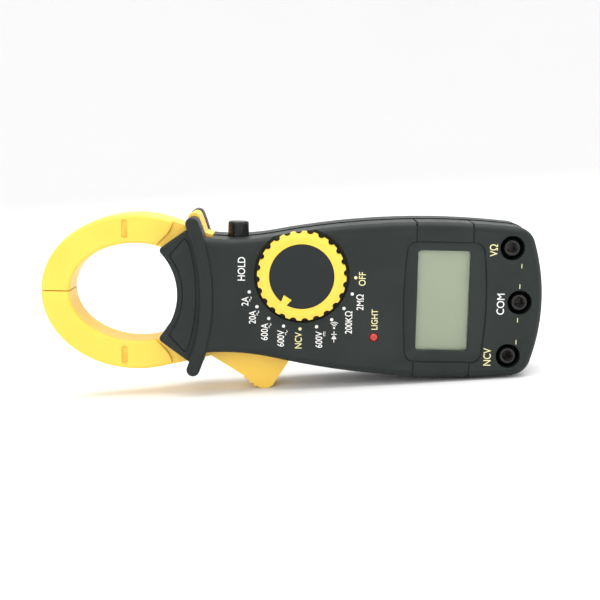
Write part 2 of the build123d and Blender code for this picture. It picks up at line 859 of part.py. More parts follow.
with BuildPart() as battery_door:
    with BuildSketch(face(rear_depth + door_t - fit)):
        with Locations(((door_x0 + door_x1) / 2 + fit, 0)):
            RectangleRounded(door_x1 - door_x0 - 2 * door_gap, 2 * (door_half - door_gap), door_corner_r)
    extrude(amount=-door_t + fit)
    # Two hooks that reach in under the case's edge.
    for hook_h in hook_places:
        with BuildSketch(face(rear_depth + door_t - loose)):
            with Locations((door_x0 + door_gap + fit + hook_t / 2, hook_h)):
                Rectangle(hook_t, hook_w)
        extrude(amount=hook_rise)
        with BuildSketch(face(rear_depth + door_t - loose + hook_rise - hook_t)):
            with Locations((door_x0 + door_gap + fit + hook_t - hook_len / 2, hook_h)):
                Rectangle(hook_len, hook_w)
        extrude(amount=hook_t)
    # Grip ribs and the screw's seat.
    for rib in range(door_ribs):
        with BuildSketch(face(rear_depth)):
            with Locations((door_rib_x + door_rib_pitch * rib, 0)):
                SlotOverall(door_rib_len, door_rib_w, rotation=90)
        extrude(amount=door_rib_deep, mode=Mode.SUBTRACT)
    with BuildSketch(face(rear_depth + door_t)):
        with Locations((door_screw_x, 0)):
            Circle(shank_r + loose)
    extrude(amount=-far, mode=Mode.SUBTRACT)
    with BuildSketch(face(rear_depth + door_head_t + 2 * touch)):
        with Locations((door_screw_x, 0)):
            Circle(door_head_r + 2 * loose)
    extrude(amount=-far, mode=Mode.SUBTRACT)
keep(battery_door.part, "battery_door")


def screw(place, seat, tip, radius, thickness):
    """A pan head screw whose shank points at the front; its head has a cross recess."""
    with BuildSketch(face(seat)) as outline:
        with Locations(place):
            Circle(radius)
    extrude(outline.sketch, amount=-thickness)
    with BuildSketch(face(seat - touch)) as outline:
        with Locations(place):
            Circle(shank_r)
    extrude(outline.sketch, amount=tip - seat)
    with BuildSketch(face(seat - thickness)) as outline:
        with Locations(place):
            Rectangle(cross_l, cross_w)
            Rectangle(cross_w, cross_l)
    extrude(outline.sketch, amount=thickness * cross_deep, mode=Mode.SUBTRACT)


with BuildPart() as door_screw:
    screw((door_screw_x, 0), rear_depth + door_head_t + touch, door_screw_tip, door_head_r, door_head_t)
keep(door_screw.part, "door_screw")

with BuildPart() as case_screws:
    for place in screw_places:
        screw(place, head_seat - touch, screw_tip, head_r, head_t)
keep(case_screws.part, "case_screws")


# ============================ jaws ============================

# Outer line of both jaws: the ring's ellipse, then a straight run into the case.
outer_a = hole_a + ring_w
outer_b = hole_b + ring_w
fixed_leave_x = -43.0
moving_leave_x = -49.5
root_x = -30.6
fixed_root_h = 23.0
moving_root_h = 24.7
step_x = -53.0            # the step's edges lie beyond this, and within this half height
step_half = 26.5
long_edge = 15.0
cut_w = 60.0              # side of the squares that cut a jaw off at a height
tip_cut_x = -80.0         # the contact plane's square and the inner joint's square
joint_cut_x = -30.0
joint_gap = 0.2


def ring_height(x):
    """Half height of the closed jaws' outer line at x."""
    return outer_b * sqrt(1 - ((x - ring_x) / outer_a) ** 2)


def cut_beyond(x, height, way):
    """Cut everything above (way 1) or below (way -1) a height off a jaw's outline."""
    with Locations((x, height + way * cut_w / 2)):
        Rectangle(cut_w, cut_w, mode=Mode.SUBTRACT)


# Line on the jaws' faces where they step down to go under the nose.
with BuildSketch() as deep_side:
    with BuildLine():
        Polyline((-53.9, 0), (-53.9, 16.9), (-48.2, 22.6))
        ThreePointArc((-48.2, 22.6), (-46.2, 26.0), (-45.8, 32.0))
        Polyline((-45.8, 32.0), (20, 32.0), (20, 0), (-53.9, 0))
    make_face()
    mirror(about=Plane.XZ)
    with Locations((-10.0, -36.0)):
        Rectangle(60.0, 20.0)


def jaw_piece(shape, side):
    """A jaw half: full thickness up to the step, and thinner from there into the case."""
    with BuildPart(mode=Mode.PRIVATE) as thick:
        with BuildSketch(face(0)):
            add(shape)
            add(deep_side.sketch, mode=Mode.SUBTRACT)
        extrude(amount=side * jaw_half)
        outer = thick.faces().sort_by(Axis.Y)[0 if side > 0 else -1]
        fillet([edge for edge in outer.edges() if edge.length > long_edge], radius=jaw_edge_r)
        outer = thick.faces().sort_by(Axis.Y)[0 if side > 0 else -1]
        step_edges = [
            edge
            for edge in outer.edges()
            if edge.center().X > step_x and abs(edge.center().Z - axis_z) < step_half
        ]
        fillet(step_edges, radius=jaw_step_r)
        outer = thick.faces().sort_by(Axis.Y)[0 if side > 0 else -1]
        fillet(outer.edges().sort_by(Axis.X)[0], radius=jaw_tip_r)
    with BuildPart(mode=Mode.PRIVATE) as thin:
        with BuildSketch(face(0)):
            add(shape)
            add(deep_side.sketch, mode=Mode.INTERSECT)
        extrude(amount=side * jaw_inner_half)
    add(thick.part)
    add(thin.part)


with BuildSketch() as fixed_jaw_shape:
    with Locations((ring_x, 0)):
        Ellipse(outer_a, outer_b)
    Polygon(
        (fixed_leave_x, ring_height(fixed_leave_x)),
        (root_x, fixed_root_h),
        (root_x, 10.0),
        (fixed_leave_x, 10.0),
        align=None,
    )
    with Locations((ring_x, 0)):
        Ellipse(hole_a, hole_b, mode=Mode.SUBTRACT)
    # Nothing below the contact plane at the tip, nor below the inner joint at the case.
    cut_beyond(tip_cut_x, contact_gap, -1)
    cut_beyond(joint_cut_x, split_h + joint_gap, -1)
    with Locations((pivot_x, pivot_h)):
        Circle(hub_r + hub_gap, mode=Mode.SUBTRACT)
    # The flange between the guard's halves.
    with BuildSketch(mode=Mode.PRIVATE) as flange:
        add(guard_sketch(rear_guard_top, -flange_gap))
        with Locations((guard_mid_x, flange_low + cut_w / 2)):
            Rectangle(cut_w, cut_w, mode=Mode.INTERSECT)
    add(flange.sketch)

with BuildSketch() as moving_jaw_shape:
    with Locations((ring_x, 0)):
        Ellipse(outer_a, outer_b)
    Polygon(
        (moving_leave_x, -ring_height(moving_leave_x)),
        (root_x, -moving_root_h),
        (-28.0, -18.0),
        (moving_leave_x, -20.0),
        align=None,
    )
    with Locations((ring_x, 0)):
        Ellipse(hole_a, hole_b, mode=Mode.SUBTRACT)
    cut_beyond(tip_cut_x, -contact_gap, 1)
    cut_beyond(joint_cut_x, split_h - joint_gap, 1)
    with Locations((pivot_x, pivot_h)):
        Circle(hub_r)
    # Trigger: a wedge from the hub to a rounded tip.
    with BuildLine():
        Polyline(
            (-29.2, -15.0),
            (root_x, -moving_root_h),
            (-17.3, -32.7),
            (-12.9, -36.3),
        )
        ThreePointArc((-12.9, -36.3), (-9.4, -37.4), (-6.4, -36.3))
        ThreePointArc((-6.4, -36.3), (-3.9, -32.4), (-0.3, -26.7))
        Polyline((-0.3, -26.7), (1.2, -23.0), (-0.6, -21.2), (-18.4, -16.5), (-24.0, -12.0))
        Line((-24.0, -12.0), (-29.2, -15.0))
    make_face()


# Rooms for a coil, as their two ends and their least distance from the contact plane.
coil_rooms = ((-100.0, -53.0, 2.2), (-53.1, -26.0, 14.0))


def jaw_half_shell(shape, side, way):
    """A jaw shell: outer form, room for the core, and an end wall that only the core passes."""
    jaw_piece(shape, side)
    for left, right, low in coil_rooms:
        with BuildSketch(face(0)) as outline:
            add(ring_sketch(jaw_shell, ring_w - jaw_shell))
            with Locations(((left + right) / 2, way * (low + cut_w / 2))):
                Rectangle(right - left, cut_w, mode=Mode.INTERSECT)
        extrude(outline.sketch, amount=side * coil_room, mode=Mode.SUBTRACT)
    with BuildSketch(face(0)) as outline:
        add(ring_sketch(ring_w / 2 - core_w / 2 - fit, ring_w / 2 + core_w / 2 + fit))
    extrude(outline.sketch, amount=side * (core_half + fit), mode=Mode.SUBTRACT)
    # Marker slot sunk into the face.
    with BuildSketch(face(side * (jaw_half - marker_sink))) as outline:
        with Locations((marker_x, way * marker_h)):
            SlotOverall(marker_len, marker_w, rotation=90)
    extrude(outline.sketch, amount=side * over, mode=Mode.SUBTRACT)


rib_places = [(-16.7, -33.3), (-14.9, -34.8), (-13.1, -36.2)]
trigger_hollow = [(-19.5, -20.0), (-4.5, -24.0), (-8.5, -33.0), (-13.0, -32.5), (-24.5, -25.6)]

for side, half in ((1, "front"), (-1, "rear")):
    with BuildPart() as fixed_jaw:
        jaw_half_shell(fixed_jaw_shape.sketch, side, 1)
    keep(fixed_jaw.part, f"fixed_jaw_{half}")

for side, half in ((1, "front"), (-1, "rear")):
    with BuildPart() as moving_jaw:
        jaw_half_shell(moving_jaw_shape.sketch, side, -1)
        # Thumb ribs near the trigger's tip.
        for place in rib_places:
            with BuildSketch(face(0)):
                with Locations(place):
                    Circle(rib_r)
            extrude(amount=side * (jaw_inner_half - rib_sink))
        # Room in the trigger, and the bore for the pin.
        with BuildSketch(face(0)):
            Polygon(*trigger_hollow, align=None)
        extrude(amount=side * trigger_room, mode=Mode.SUBTRACT)
        with BuildSketch(face(-side)):
            with Locations((pivot_x, pivot_h)):
                Circle(pin_r + fit)
        extrude(amount=side * far, mode=Mode.SUBTRACT)
        split(bisect_by=face(0), keep=Keep.TOP if side > 0 else Keep.BOTTOM)
    keep(moving_jaw.part, f"moving_jaw_{half}")


def core_half_part(way):
    """Half of the laminated ring core, cut at the contact plane and at the inner joint."""
    with BuildSketch(face(-core_half)) as outline:
        add(ring_sketch(ring_w / 2 - core_w / 2, ring_w / 2 + core_w / 2))
        cut_beyond(tip_cut_x, way * contact_gap, -way)
        cut_beyond(joint_cut_x, split_h + way * (joint_gap + fit), -way)
    extrude(outline.sketch, amount=2 * core_half)
    # Lamination joints show as fine grooves along the outer line.
    for sheet in range(1, sheet_count + 1):
        with BuildSketch(face(-core_half + sheet_t * sheet - sheet_joint / 2)) as outline:
            add(ring_sketch(ring_w / 2 + core_w / 2 - fit - loose, ring_w / 2 + core_w / 2 + over))
        extrude(outline.sketch, amount=sheet_joint, mode=Mode.SUBTRACT)


def coil_part(way):
    """A coil on its bobbin, wound round the middle of a core half."""
    middle_x = (coil_x0 + coil_x1) / 2
    for grow, width in ((cheek_grow, cheek_t), (0.0, coil_x1 - coil_x0)):
        with BuildSketch(face(-coil_half - grow)) as outline:
            add(ring_sketch(coil_inset - grow, ring_w - coil_inset + grow))
            with Locations((middle_x, way * (hole_b + ring_w / 2))):
                Rectangle(width, 2 * ring_w, mode=Mode.INTERSECT)
        extrude(outline.sketch, amount=2 * (coil_half + grow))
    with BuildSketch(face(-core_half - loose)) as outline:
        add(ring_sketch(ring_w / 2 - core_w / 2 - loose, ring_w / 2 + core_w / 2 + loose))
    extrude(outline.sketch, amount=2 * (core_half + loose), mode=Mode.SUBTRACT)


for way, jaw in ((1, "fixed"), (-1, "moving")):
    with BuildPart() as core:
        core_half_part(way)
    keep(core.part, f"{jaw}_core")
    with BuildPart() as coil:
        coil_part(way)
    keep(coil.part, f"{jaw}_coil")

with BuildPart() as pivot_pin:
    with BuildSketch(face(-pin_half)):
        with Locations((pivot_x, pivot_h)):
            Circle(pin_r)
    extrude(amount=2 * pin_half)
    chamfer(pivot_pin.edges().filter_by(GeomType.CIRCLE), length=pin_r / 5)
keep(pivot_pin.part, "pivot_pin")

# Return spring between the trigger's back and its seat.
with BuildPart() as return_spring:
    with BuildLine(level(spring_low + spring_gap, spring_x)) as coil_line:
        Helix(pitch=spring_pitch, height=spring_high - spring_low - 2 * spring_gap, radius=spring_r)
    with BuildSketch(Plane(coil_line.line @ 0, z_dir=coil_line.line % 0)):
        Circle(spring_wire_r)
    sweep()
keep(return_spring.part, "return_spring")


# ============================ dial ============================

def cut_pointer(gap):
    """Leave the pointer's tapering tab out of the sketch, with a gap round it."""
    start = pointer_start - gap
    end = cap_r + pointer_reach
    wide = pointer_half[0] + gap
    narrow = pointer_half[1] + gap
    with Locations(Location((dial_x, dial_h), pointer_angle)):
        Polygon(
            (start, -wide), (end, -narrow), (end, narrow), (start, wide),
            align=None,
            mode=Mode.SUBTRACT,
        )


with BuildPart() as dial_ring:
    with BuildSketch(face(dish_top + rim_gap)):
        with Locations((dial_x, dial_h)):
            Circle(dial_r)
    extrude(amount=dial_top - dish_top - rim_gap)
    chamfer(dial_ring.faces().sort_by(Axis.Y)[0].edges(), length=rim_bevel, length2=rim_bevel_w)
    with BuildSketch(face(dish_top)):
        with Locations((dial_x, dial_h)):
            with PolarLocations(dial_r + tooth_out, teeth, start_angle=pointer_angle + 180 / teeth):
                Circle(tooth_r)
    extrude(amount=far, mode=Mode.SUBTRACT)
    # Seat for the cap, with the pointer's tab left standing in it.
    with BuildSketch(face(dial_top - cap_seat)):
        with Locations((dial_x, dial_h)):
            Circle(cap_r + fit)
        cut_pointer(0.0)
    extrude(amount=far, mode=Mode.SUBTRACT)
    # Hub through the dish, and room inside it.
    with BuildSketch(face(hub_low)):
        with Locations((dial_x, dial_h)):
            Circle(hub_hole_r - rim_gap)
    extrude(amount=dish_top + over - hub_low)
    with BuildSketch(face(hub_low)):
        with Locations((dial_x, dial_h)):
            Circle(hub_room_r)
    extrude(amount=hub_room_top - hub_low, mode=Mode.SUBTRACT)
    for ball_angle in (pointer_angle + 90, pointer_angle - 90):
        turn = radians(ball_angle)
        with BuildSketch(face(dish_top)):
            with Locations((dial_x + track_r * cos(turn), dial_h + track_r * sin(turn))):
                Circle(ball_hole_r)
        extrude(amount=ball_hole_deep, mode=Mode.SUBTRACT)
keep(dial_ring.part, "dial_ring")

with BuildPart() as dial_cap:
    with BuildSketch(face(dial_top - cap_seat + touch)):
        with Locations((dial_x, dial_h)):
            Circle(cap_r)
        cut_pointer(pointer_gap)
    extrude(amount=cap_t)
keep(dial_cap.part, "dial_cap")

with BuildPart() as dial_rotor:
    with BuildSketch(face(rotor_low)):
        with Locations((dial_x, dial_h)):
            Circle(rotor_r)
    extrude(amount=rotor_t)
    with BuildSketch(face(rotor_low + rotor_t - loose)):
        with Locations((dial_x, dial_h)):
            Circle(rotor_tube_r)
            Circle(rotor_tube_r - rotor_tube_w, mode=Mode.SUBTRACT)
    extrude(amount=rotor_tube_h)
    with BuildSketch(face(rotor_low - over)):
        with Locations((dial_x, dial_h)):
            Circle(rotor_hole_r)
    extrude(amount=far, mode=Mode.SUBTRACT)
keep(dial_rotor.part, "dial_rotor")

with BuildPart() as rotor_brushes:
    for brush in range(brush_count):
        reach = brush_r + brush_step * brush
        angle = 90 + brush * 360 / brush_count
        spot = (dial_x + reach * cos(radians(angle)), dial_h + reach * sin(radians(angle)))
        with BuildSketch(face(rotor_low - brush_t - touch)):
            with Locations(Location(spot, angle + 90)):
                SlotOverall(brush_len, brush_w)
        extrude(amount=brush_t)
        with BuildSketch(face(board_top + fit)):
            with Locations(spot):
                Circle(brush_foot_r)
        extrude(amount=rotor_low - brush_t - board_top)
keep(rotor_brushes.part, "rotor_brushes")

with BuildPart() as detent_balls:
    for ball_angle in (pointer_angle + 90, pointer_angle - 90):
        turn = radians(ball_angle)
        ball_plane = face(dish_top + fit + ball_r)
        spot = ball_plane.from_local_coords(
            (dial_x + track_r * cos(turn), dial_h + track_r * sin(turn), 0)
        )
        with Locations(spot):
            Sphere(ball_r)
keep(detent_balls.part, "detent_balls")

with BuildPart() as detent_springs:
    for ball_angle in (pointer_angle + 90, pointer_angle - 90):
        turn = radians(ball_angle)
        spot = (dial_x + track_r * cos(turn), dial_h + track_r * sin(turn))
        for ring in range(ring_spring_turns):
            with BuildSketch(face(dish_top + ring_spring_low + ring_spring_pitch * ring)):
                with Locations(spot):
                    Circle(ring_spring_r)
                    Circle(ring_spring_r - ring_spring_w, mode=Mode.SUBTRACT)
            extrude(amount=ring_spring_w)
        with BuildSketch(face(dish_top + ring_spring_low)):
            with Locations((spot[0] + ring_spring_r - ring_spring_w / 2, spot[1])):
                Circle(ring_spring_w / 2 - touch / 2)
        extrude(amount=ring_spring_pitch * (ring_spring_turns - 1) + ring_spring_w)
keep(detent_springs.part, "detent_springs")


# ============================ display ============================

window_depth = front_depth - wall + window_seat

with BuildPart() as display_window:
    with BuildSketch(face(window_depth - window_t)):
        with Locations((lcd_x, 0)):
            RectangleRounded(lcd_w + 2 * window_lap, lcd_h + 2 * window_lap, window_corner_r + 0.3)
    extrude(amount=window_t)
keep(display_window.part, "display_window")

lcd_top = window_depth - window_t - fit
with BuildPart() as lcd_panel:
    with BuildSketch(face(lcd_top - lcd_glass_t)):
        with Locations((lcd_x, 0)):
            Rectangle(lcd_glass_w, lcd_glass_h)
    extrude(amount=lcd_glass_t)
keep(lcd_panel.part, "lcd_panel")

with BuildPart() as lcd_holder:
    with BuildSketch(face(board_top + touch)):
        with Locations((lcd_x, 0)):
            RectangleRounded(holder_w, holder_h, holder_lip)
            Rectangle(lcd_glass_w + 2 * loose, lcd_glass_h + 2 * loose, mode=Mode.SUBTRACT)
    extrude(amount=lcd_top - board_top - holder_lip / 2)
    with BuildSketch(face(board_top + touch)):
        with Locations((lcd_x, 0)):
            Rectangle(holder_w - 2 * over, holder_h - 2 * over)
            Rectangle(lcd_w, lcd_h, mode=Mode.SUBTRACT)
    extrude(amount=holder_lip)
keep(lcd_holder.part, "lcd_holder")

with BuildPart() as zebra_strips:
    for strip_x in (lcd_x - zebra_x, lcd_x + zebra_x):
        with BuildSketch(face(board_top + holder_lip + fit)):
            with Locations((strip_x, 0)):
                Rectangle(zebra_w, zebra_h)
        extrude(amount=lcd_top - lcd_glass_t - touch - board_top - holder_lip - fit)
keep(zebra_strips.part, "zebra_strips")


# ============================ boards and what is on them ============================

def board_outline(start, end, half):
    """A board that fills the body between two places along X, cut out round the screw bosses."""
    add(body_sketch(wall + board_gap))
    with Locations(((start + end) / 2, 0)):
        Rectangle(end - start, 2 * half, mode=Mode.INTERSECT)
    for place in screw_places:
        with Locations(place):
            Circle(boss_r + board_hole_gap, mode=Mode.SUBTRACT)


with BuildPart() as main_board:
    with BuildSketch(face(board_low)):
        board_outline(board_x0, board_x1, 2 * flank_half)
    extrude(amount=board_t)
keep(main_board.part, "main_board")

with BuildPart() as jack_board:
    with BuildSketch(face(jack_board_low)):
        board_outline(jack_board_x0, jack_board_x1, jack_board_half)
        for place in jack_places.values():
            with Locations(place):
                Circle(pin_hole_r, mode=Mode.SUBTRACT)
    extrude(amount=board_t)
keep(jack_board.part, "jack_board")

for name, place in jack_places.items():
    with BuildPart() as jack_post:
        with BuildSketch(face(well_floor + touch)):
            with Locations(place):
                Circle(post_r)
        extrude(amount=post_top - well_floor - touch)
        chamfer(jack_post.faces().sort_by(Axis.Y)[0].edges(), length=post_bevel)
        with BuildSketch(face(well_floor)):
            with Locations(place):
                Circle(socket_r + fit)
        extrude(amount=socket_top + fit - well_floor, mode=Mode.SUBTRACT)
        with BuildSketch(face(well_floor)):
            with Locations(place):
                Circle(post_mouth_r)
        extrude(amount=far, mode=Mode.SUBTRACT)
    keep(jack_post.part, f"jack_post_{name}")

    with BuildPart() as jack_socket:
        with BuildSketch(face(jack_board_low + board_t + touch)):
            with Locations(place):
                Circle(socket_r)
        extrude(amount=socket_top - jack_board_low - board_t - touch)
        with BuildSketch(face(jack_board_low - tail_len)):
            with Locations(place):
                Circle(tail_r)
        extrude(amount=tail_len + board_t + 6 * loose)
        with BuildSketch(face(bore_end)):
            with Locations(place):
                Circle(bore_r)
        extrude(amount=far, mode=Mode.SUBTRACT)
    keep(jack_socket.part, f"jack_socket_{name}")

with BuildPart() as status_led:
    with BuildSketch(face(board_top + touch)):
        with Locations((led_x, led_h)):
            Circle(led_foot_r)
    extrude(amount=led_foot_t)
    with BuildSketch(face(board_top + led_foot_t)):
        with Locations((led_x, led_h)):
            Circle(led_r)
    extrude(amount=front_depth + led_proud - board_top - led_foot_t)
    fillet(status_led.faces().sort_by(Axis.Y)[0].edges(), radius=led_dome_r)
keep(status_led.part, "status_led")

with BuildPart() as main_chip:
    with BuildSketch(face(board_low - touch)):
        with Locations(blob_place):
            Circle(blob_r)
    extrude(amount=-blob_t)
    fillet(main_chip.faces().sort_by(Axis.Y)[-1].edges(), radius=blob_edge_r)
keep(main_chip.part, "main_chip")

with BuildPart() as small_chips:
    for spot in chip_places:
        with BuildSketch(face(board_low - touch)):
            with Locations(spot):
                Rectangle(chip_l, chip_w)
        extrude(amount=-chip_t)
        for leg in range(leg_count):
            leg_x = spot[0] + (leg - (leg_count - 1) / 2) * leg_pitch
            for way in (-1, 1):
                with BuildSketch(face(board_low - touch)):
                    with Locations((leg_x, spot[1] + way * (chip_w + leg_len - 2 * loose) / 2)):
                        Rectangle(leg_w, leg_len)
                extrude(amount=-leg_w)
keep(small_chips.part, "small_chips")

with BuildPart() as capacitors:
    for spot in capacitor_places:
        with BuildSketch(face(board_low - touch)):
            with Locations(spot):
                Circle(capacitor_r)
        extrude(amount=-capacitor_h)
    fillet(capacitors.faces().sort_by(Axis.Y)[-3:].edges(), radius=capacitor_edge_r)
keep(capacitors.part, "capacitors")

with BuildPart() as resistors:
    for column in range(resistor_columns):
        for row in range(resistor_rows):
            spot = (
                resistor_corner[0] + resistor_pitch[0] * column,
                resistor_corner[1] + resistor_pitch[1] * row,
            )
            with BuildSketch(face(board_low - touch)):
                with Locations(spot):
                    Rectangle(resistor_l, resistor_w)
            extrude(amount=-resistor_t)
keep(resistors.part, "resistors")

with BuildPart() as trimmer:
    with BuildSketch(face(board_low - touch)):
        with Locations(trimmer_place):
            Rectangle(trimmer_w, trimmer_w)
    extrude(amount=-trimmer_t)
    with BuildSketch(face(board_low - touch - trimmer_t)):
        with Locations(trimmer_place):
            Circle(trimmer_screw_r)
            Rectangle(cross_l, cross_w, mode=Mode.SUBTRACT)
    extrude(amount=-trimmer_screw_t)
keep(trimmer.part, "trimmer")

with BuildPart() as fuse_element:
    for spot, radius in fuse_places:
        with BuildSketch(face(board_low - touch)):
            with Locations(spot):
                Circle(radius)
        extrude(amount=-fuse_t)
keep(fuse_element.part, "fuse_element")

with BuildPart() as buzzer:
    with BuildSketch(face(board_low - touch)):
        with Locations(buzzer_place):
            Circle(buzzer_r)
    extrude(amount=-buzzer_t)
    with BuildSketch(face(board_low - touch - buzzer_t)):
        with Locations(buzzer_place):
            Circle(buzzer_hole_r)
    extrude(amount=buzzer_hole_r, mode=Mode.SUBTRACT)
keep(buzzer.part, "buzzer")


# ============================ hold button and its switch ============================

flange_h = flank(hold_x) - wall - hold_flange_gap

with BuildPart() as hold_button:
    with BuildSketch(level(flange_h, hold_x)):
        Circle(hold_r)
    extrude(amount=hold_top - flange_h, taper=hold_taper)
    fillet(hold_button.faces().sort_by(Axis.Z)[-1].edges(), radius=hold_edge_r)
    with BuildSketch(level(flange_h, hold_x)):
        Circle(hold_r + hold_flange)
    extrude(amount=-hold_flange_t)
    with BuildSketch(level(flange_h, hold_x)):
        Circle(hold_stem_r)
    extrude(amount=-hold_stem)
keep(hold_button.part, "hold_button")

switch_low = hold_board_h + board_t + touch
switch_top = flange_h - hold_stem - fit - switch_travel
with BuildPart() as hold_switch:
    with BuildSketch(level(switch_low, hold_x + switch_shift)):
        RectangleRounded(switch_w, switch_w, switch_corner_r)
    extrude(amount=switch_h)
    with BuildSketch(level(switch_low, hold_x)):
        Circle(switch_stem_r)
    extrude(amount=switch_top - switch_low)
keep(hold_switch.part, "hold_switch")

with BuildPart() as hold_board:
    with BuildSketch(level(hold_board_h, hold_board_x)):
        Rectangle(hold_board_l, hold_board_w)
    extrude(amount=board_t)
keep(hold_board.part, "hold_board")


# ============================ cells and contacts ============================

# The upper cell's nub points at the jaws and the lower one's at the jacks.
for name, way in (("upper", 1), ("lower", -1)):
    start = bay_x0 + (plate_gap if way > 0 else spring_room)
    with BuildPart() as cell:
        with BuildSketch(across(start, way * cell_h, cell_depth)):
            Circle(cell_r)
        extrude(amount=cell_len)
        fillet(cell.edges().filter_by(GeomType.CIRCLE), radius=cell_edge_r)
        nub_x = start + touch if way > 0 else start + cell_len - touch
        with BuildSketch(across(nub_x, way * cell_h, cell_depth)):
            Circle(nub_r)
        extrude(amount=-way * nub_len)
    keep(cell.part, f"cell_{name}")

with BuildPart() as battery_plates:
    for way in (1, -1):
        plate_x = bay_x0 + touch if way > 0 else bay_x1 - touch
        with BuildSketch(across(plate_x, way * cell_h, cell_depth)):
            Rectangle(contact_w, contact_h)
        extrude(amount=way * contact_t)
keep(battery_plates.part, "battery_plates")

with BuildPart() as battery_springs:
    for way in (1, -1):
        plate_x = bay_x1 - touch if way > 0 else bay_x0 + touch
        with BuildSketch(across(plate_x, way * cell_h, cell_depth)):
            Rectangle(contact_w, contact_h)
        extrude(amount=-way * contact_foot_t)
        for ring in range(contact_turns):
            ring_r = contact_r - contact_step * ring
            ring_x0 = plate_x - way * (contact_foot_t + contact_pitch * ring)
            with BuildSketch(across(ring_x0, way * cell_h, cell_depth)):
                Circle(ring_r)
                Circle(ring_r - contact_wire, mode=Mode.SUBTRACT)
            extrude(amount=-way * contact_turn_t)
keep(battery_springs.part, "battery_springs")


for piece in finished:
    export_step(piece, f"parts/{piece.label}.step")
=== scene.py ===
import json
import math

import bmesh
import bpy
from mathutils import Matrix, Vector


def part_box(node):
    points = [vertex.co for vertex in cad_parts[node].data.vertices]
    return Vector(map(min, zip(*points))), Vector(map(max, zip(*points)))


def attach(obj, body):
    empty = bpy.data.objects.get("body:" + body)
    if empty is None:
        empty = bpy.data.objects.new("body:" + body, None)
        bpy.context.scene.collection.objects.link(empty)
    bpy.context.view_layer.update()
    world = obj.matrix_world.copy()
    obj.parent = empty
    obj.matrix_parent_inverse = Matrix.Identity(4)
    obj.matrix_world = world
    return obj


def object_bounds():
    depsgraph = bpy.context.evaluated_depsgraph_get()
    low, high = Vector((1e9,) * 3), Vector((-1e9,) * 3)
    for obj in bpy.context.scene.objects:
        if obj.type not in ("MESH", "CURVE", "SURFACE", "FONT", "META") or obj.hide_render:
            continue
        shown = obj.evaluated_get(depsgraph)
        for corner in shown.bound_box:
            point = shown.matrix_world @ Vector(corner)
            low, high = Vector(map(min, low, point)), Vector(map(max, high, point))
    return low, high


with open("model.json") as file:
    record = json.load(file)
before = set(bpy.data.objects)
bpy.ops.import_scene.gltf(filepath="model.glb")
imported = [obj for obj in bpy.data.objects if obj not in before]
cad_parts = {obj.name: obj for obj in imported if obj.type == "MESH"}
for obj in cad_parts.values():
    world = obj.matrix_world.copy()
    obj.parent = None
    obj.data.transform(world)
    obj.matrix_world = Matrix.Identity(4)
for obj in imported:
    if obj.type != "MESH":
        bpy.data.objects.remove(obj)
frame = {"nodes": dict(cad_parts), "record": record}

# Looks of the clamp meter. Metres; the front face looks toward -Y and +Z is up.
nodes = frame["nodes"]
cad_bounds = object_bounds()
MM = 0.001

# ---- places, from the CAD boxes ----
parting_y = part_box("front_case")[1].y
cap_low, cap_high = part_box("dial_cap")
dial_centre = (cap_low + cap_high) / 2
window_low, window_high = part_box("display_window")
jack_centres = {
    name: (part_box(f"jack_post_{name}")[0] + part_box(f"jack_post_{name}")[1]) / 2
    for name in ("v", "com", "ncv")
}
axis_z = jack_centres["com"].z
FACE_DEPTH = 16.8 * MM             # front face, from the plane where the shells meet
face_y = parting_y - FACE_DEPTH


# ============================ materials ============================


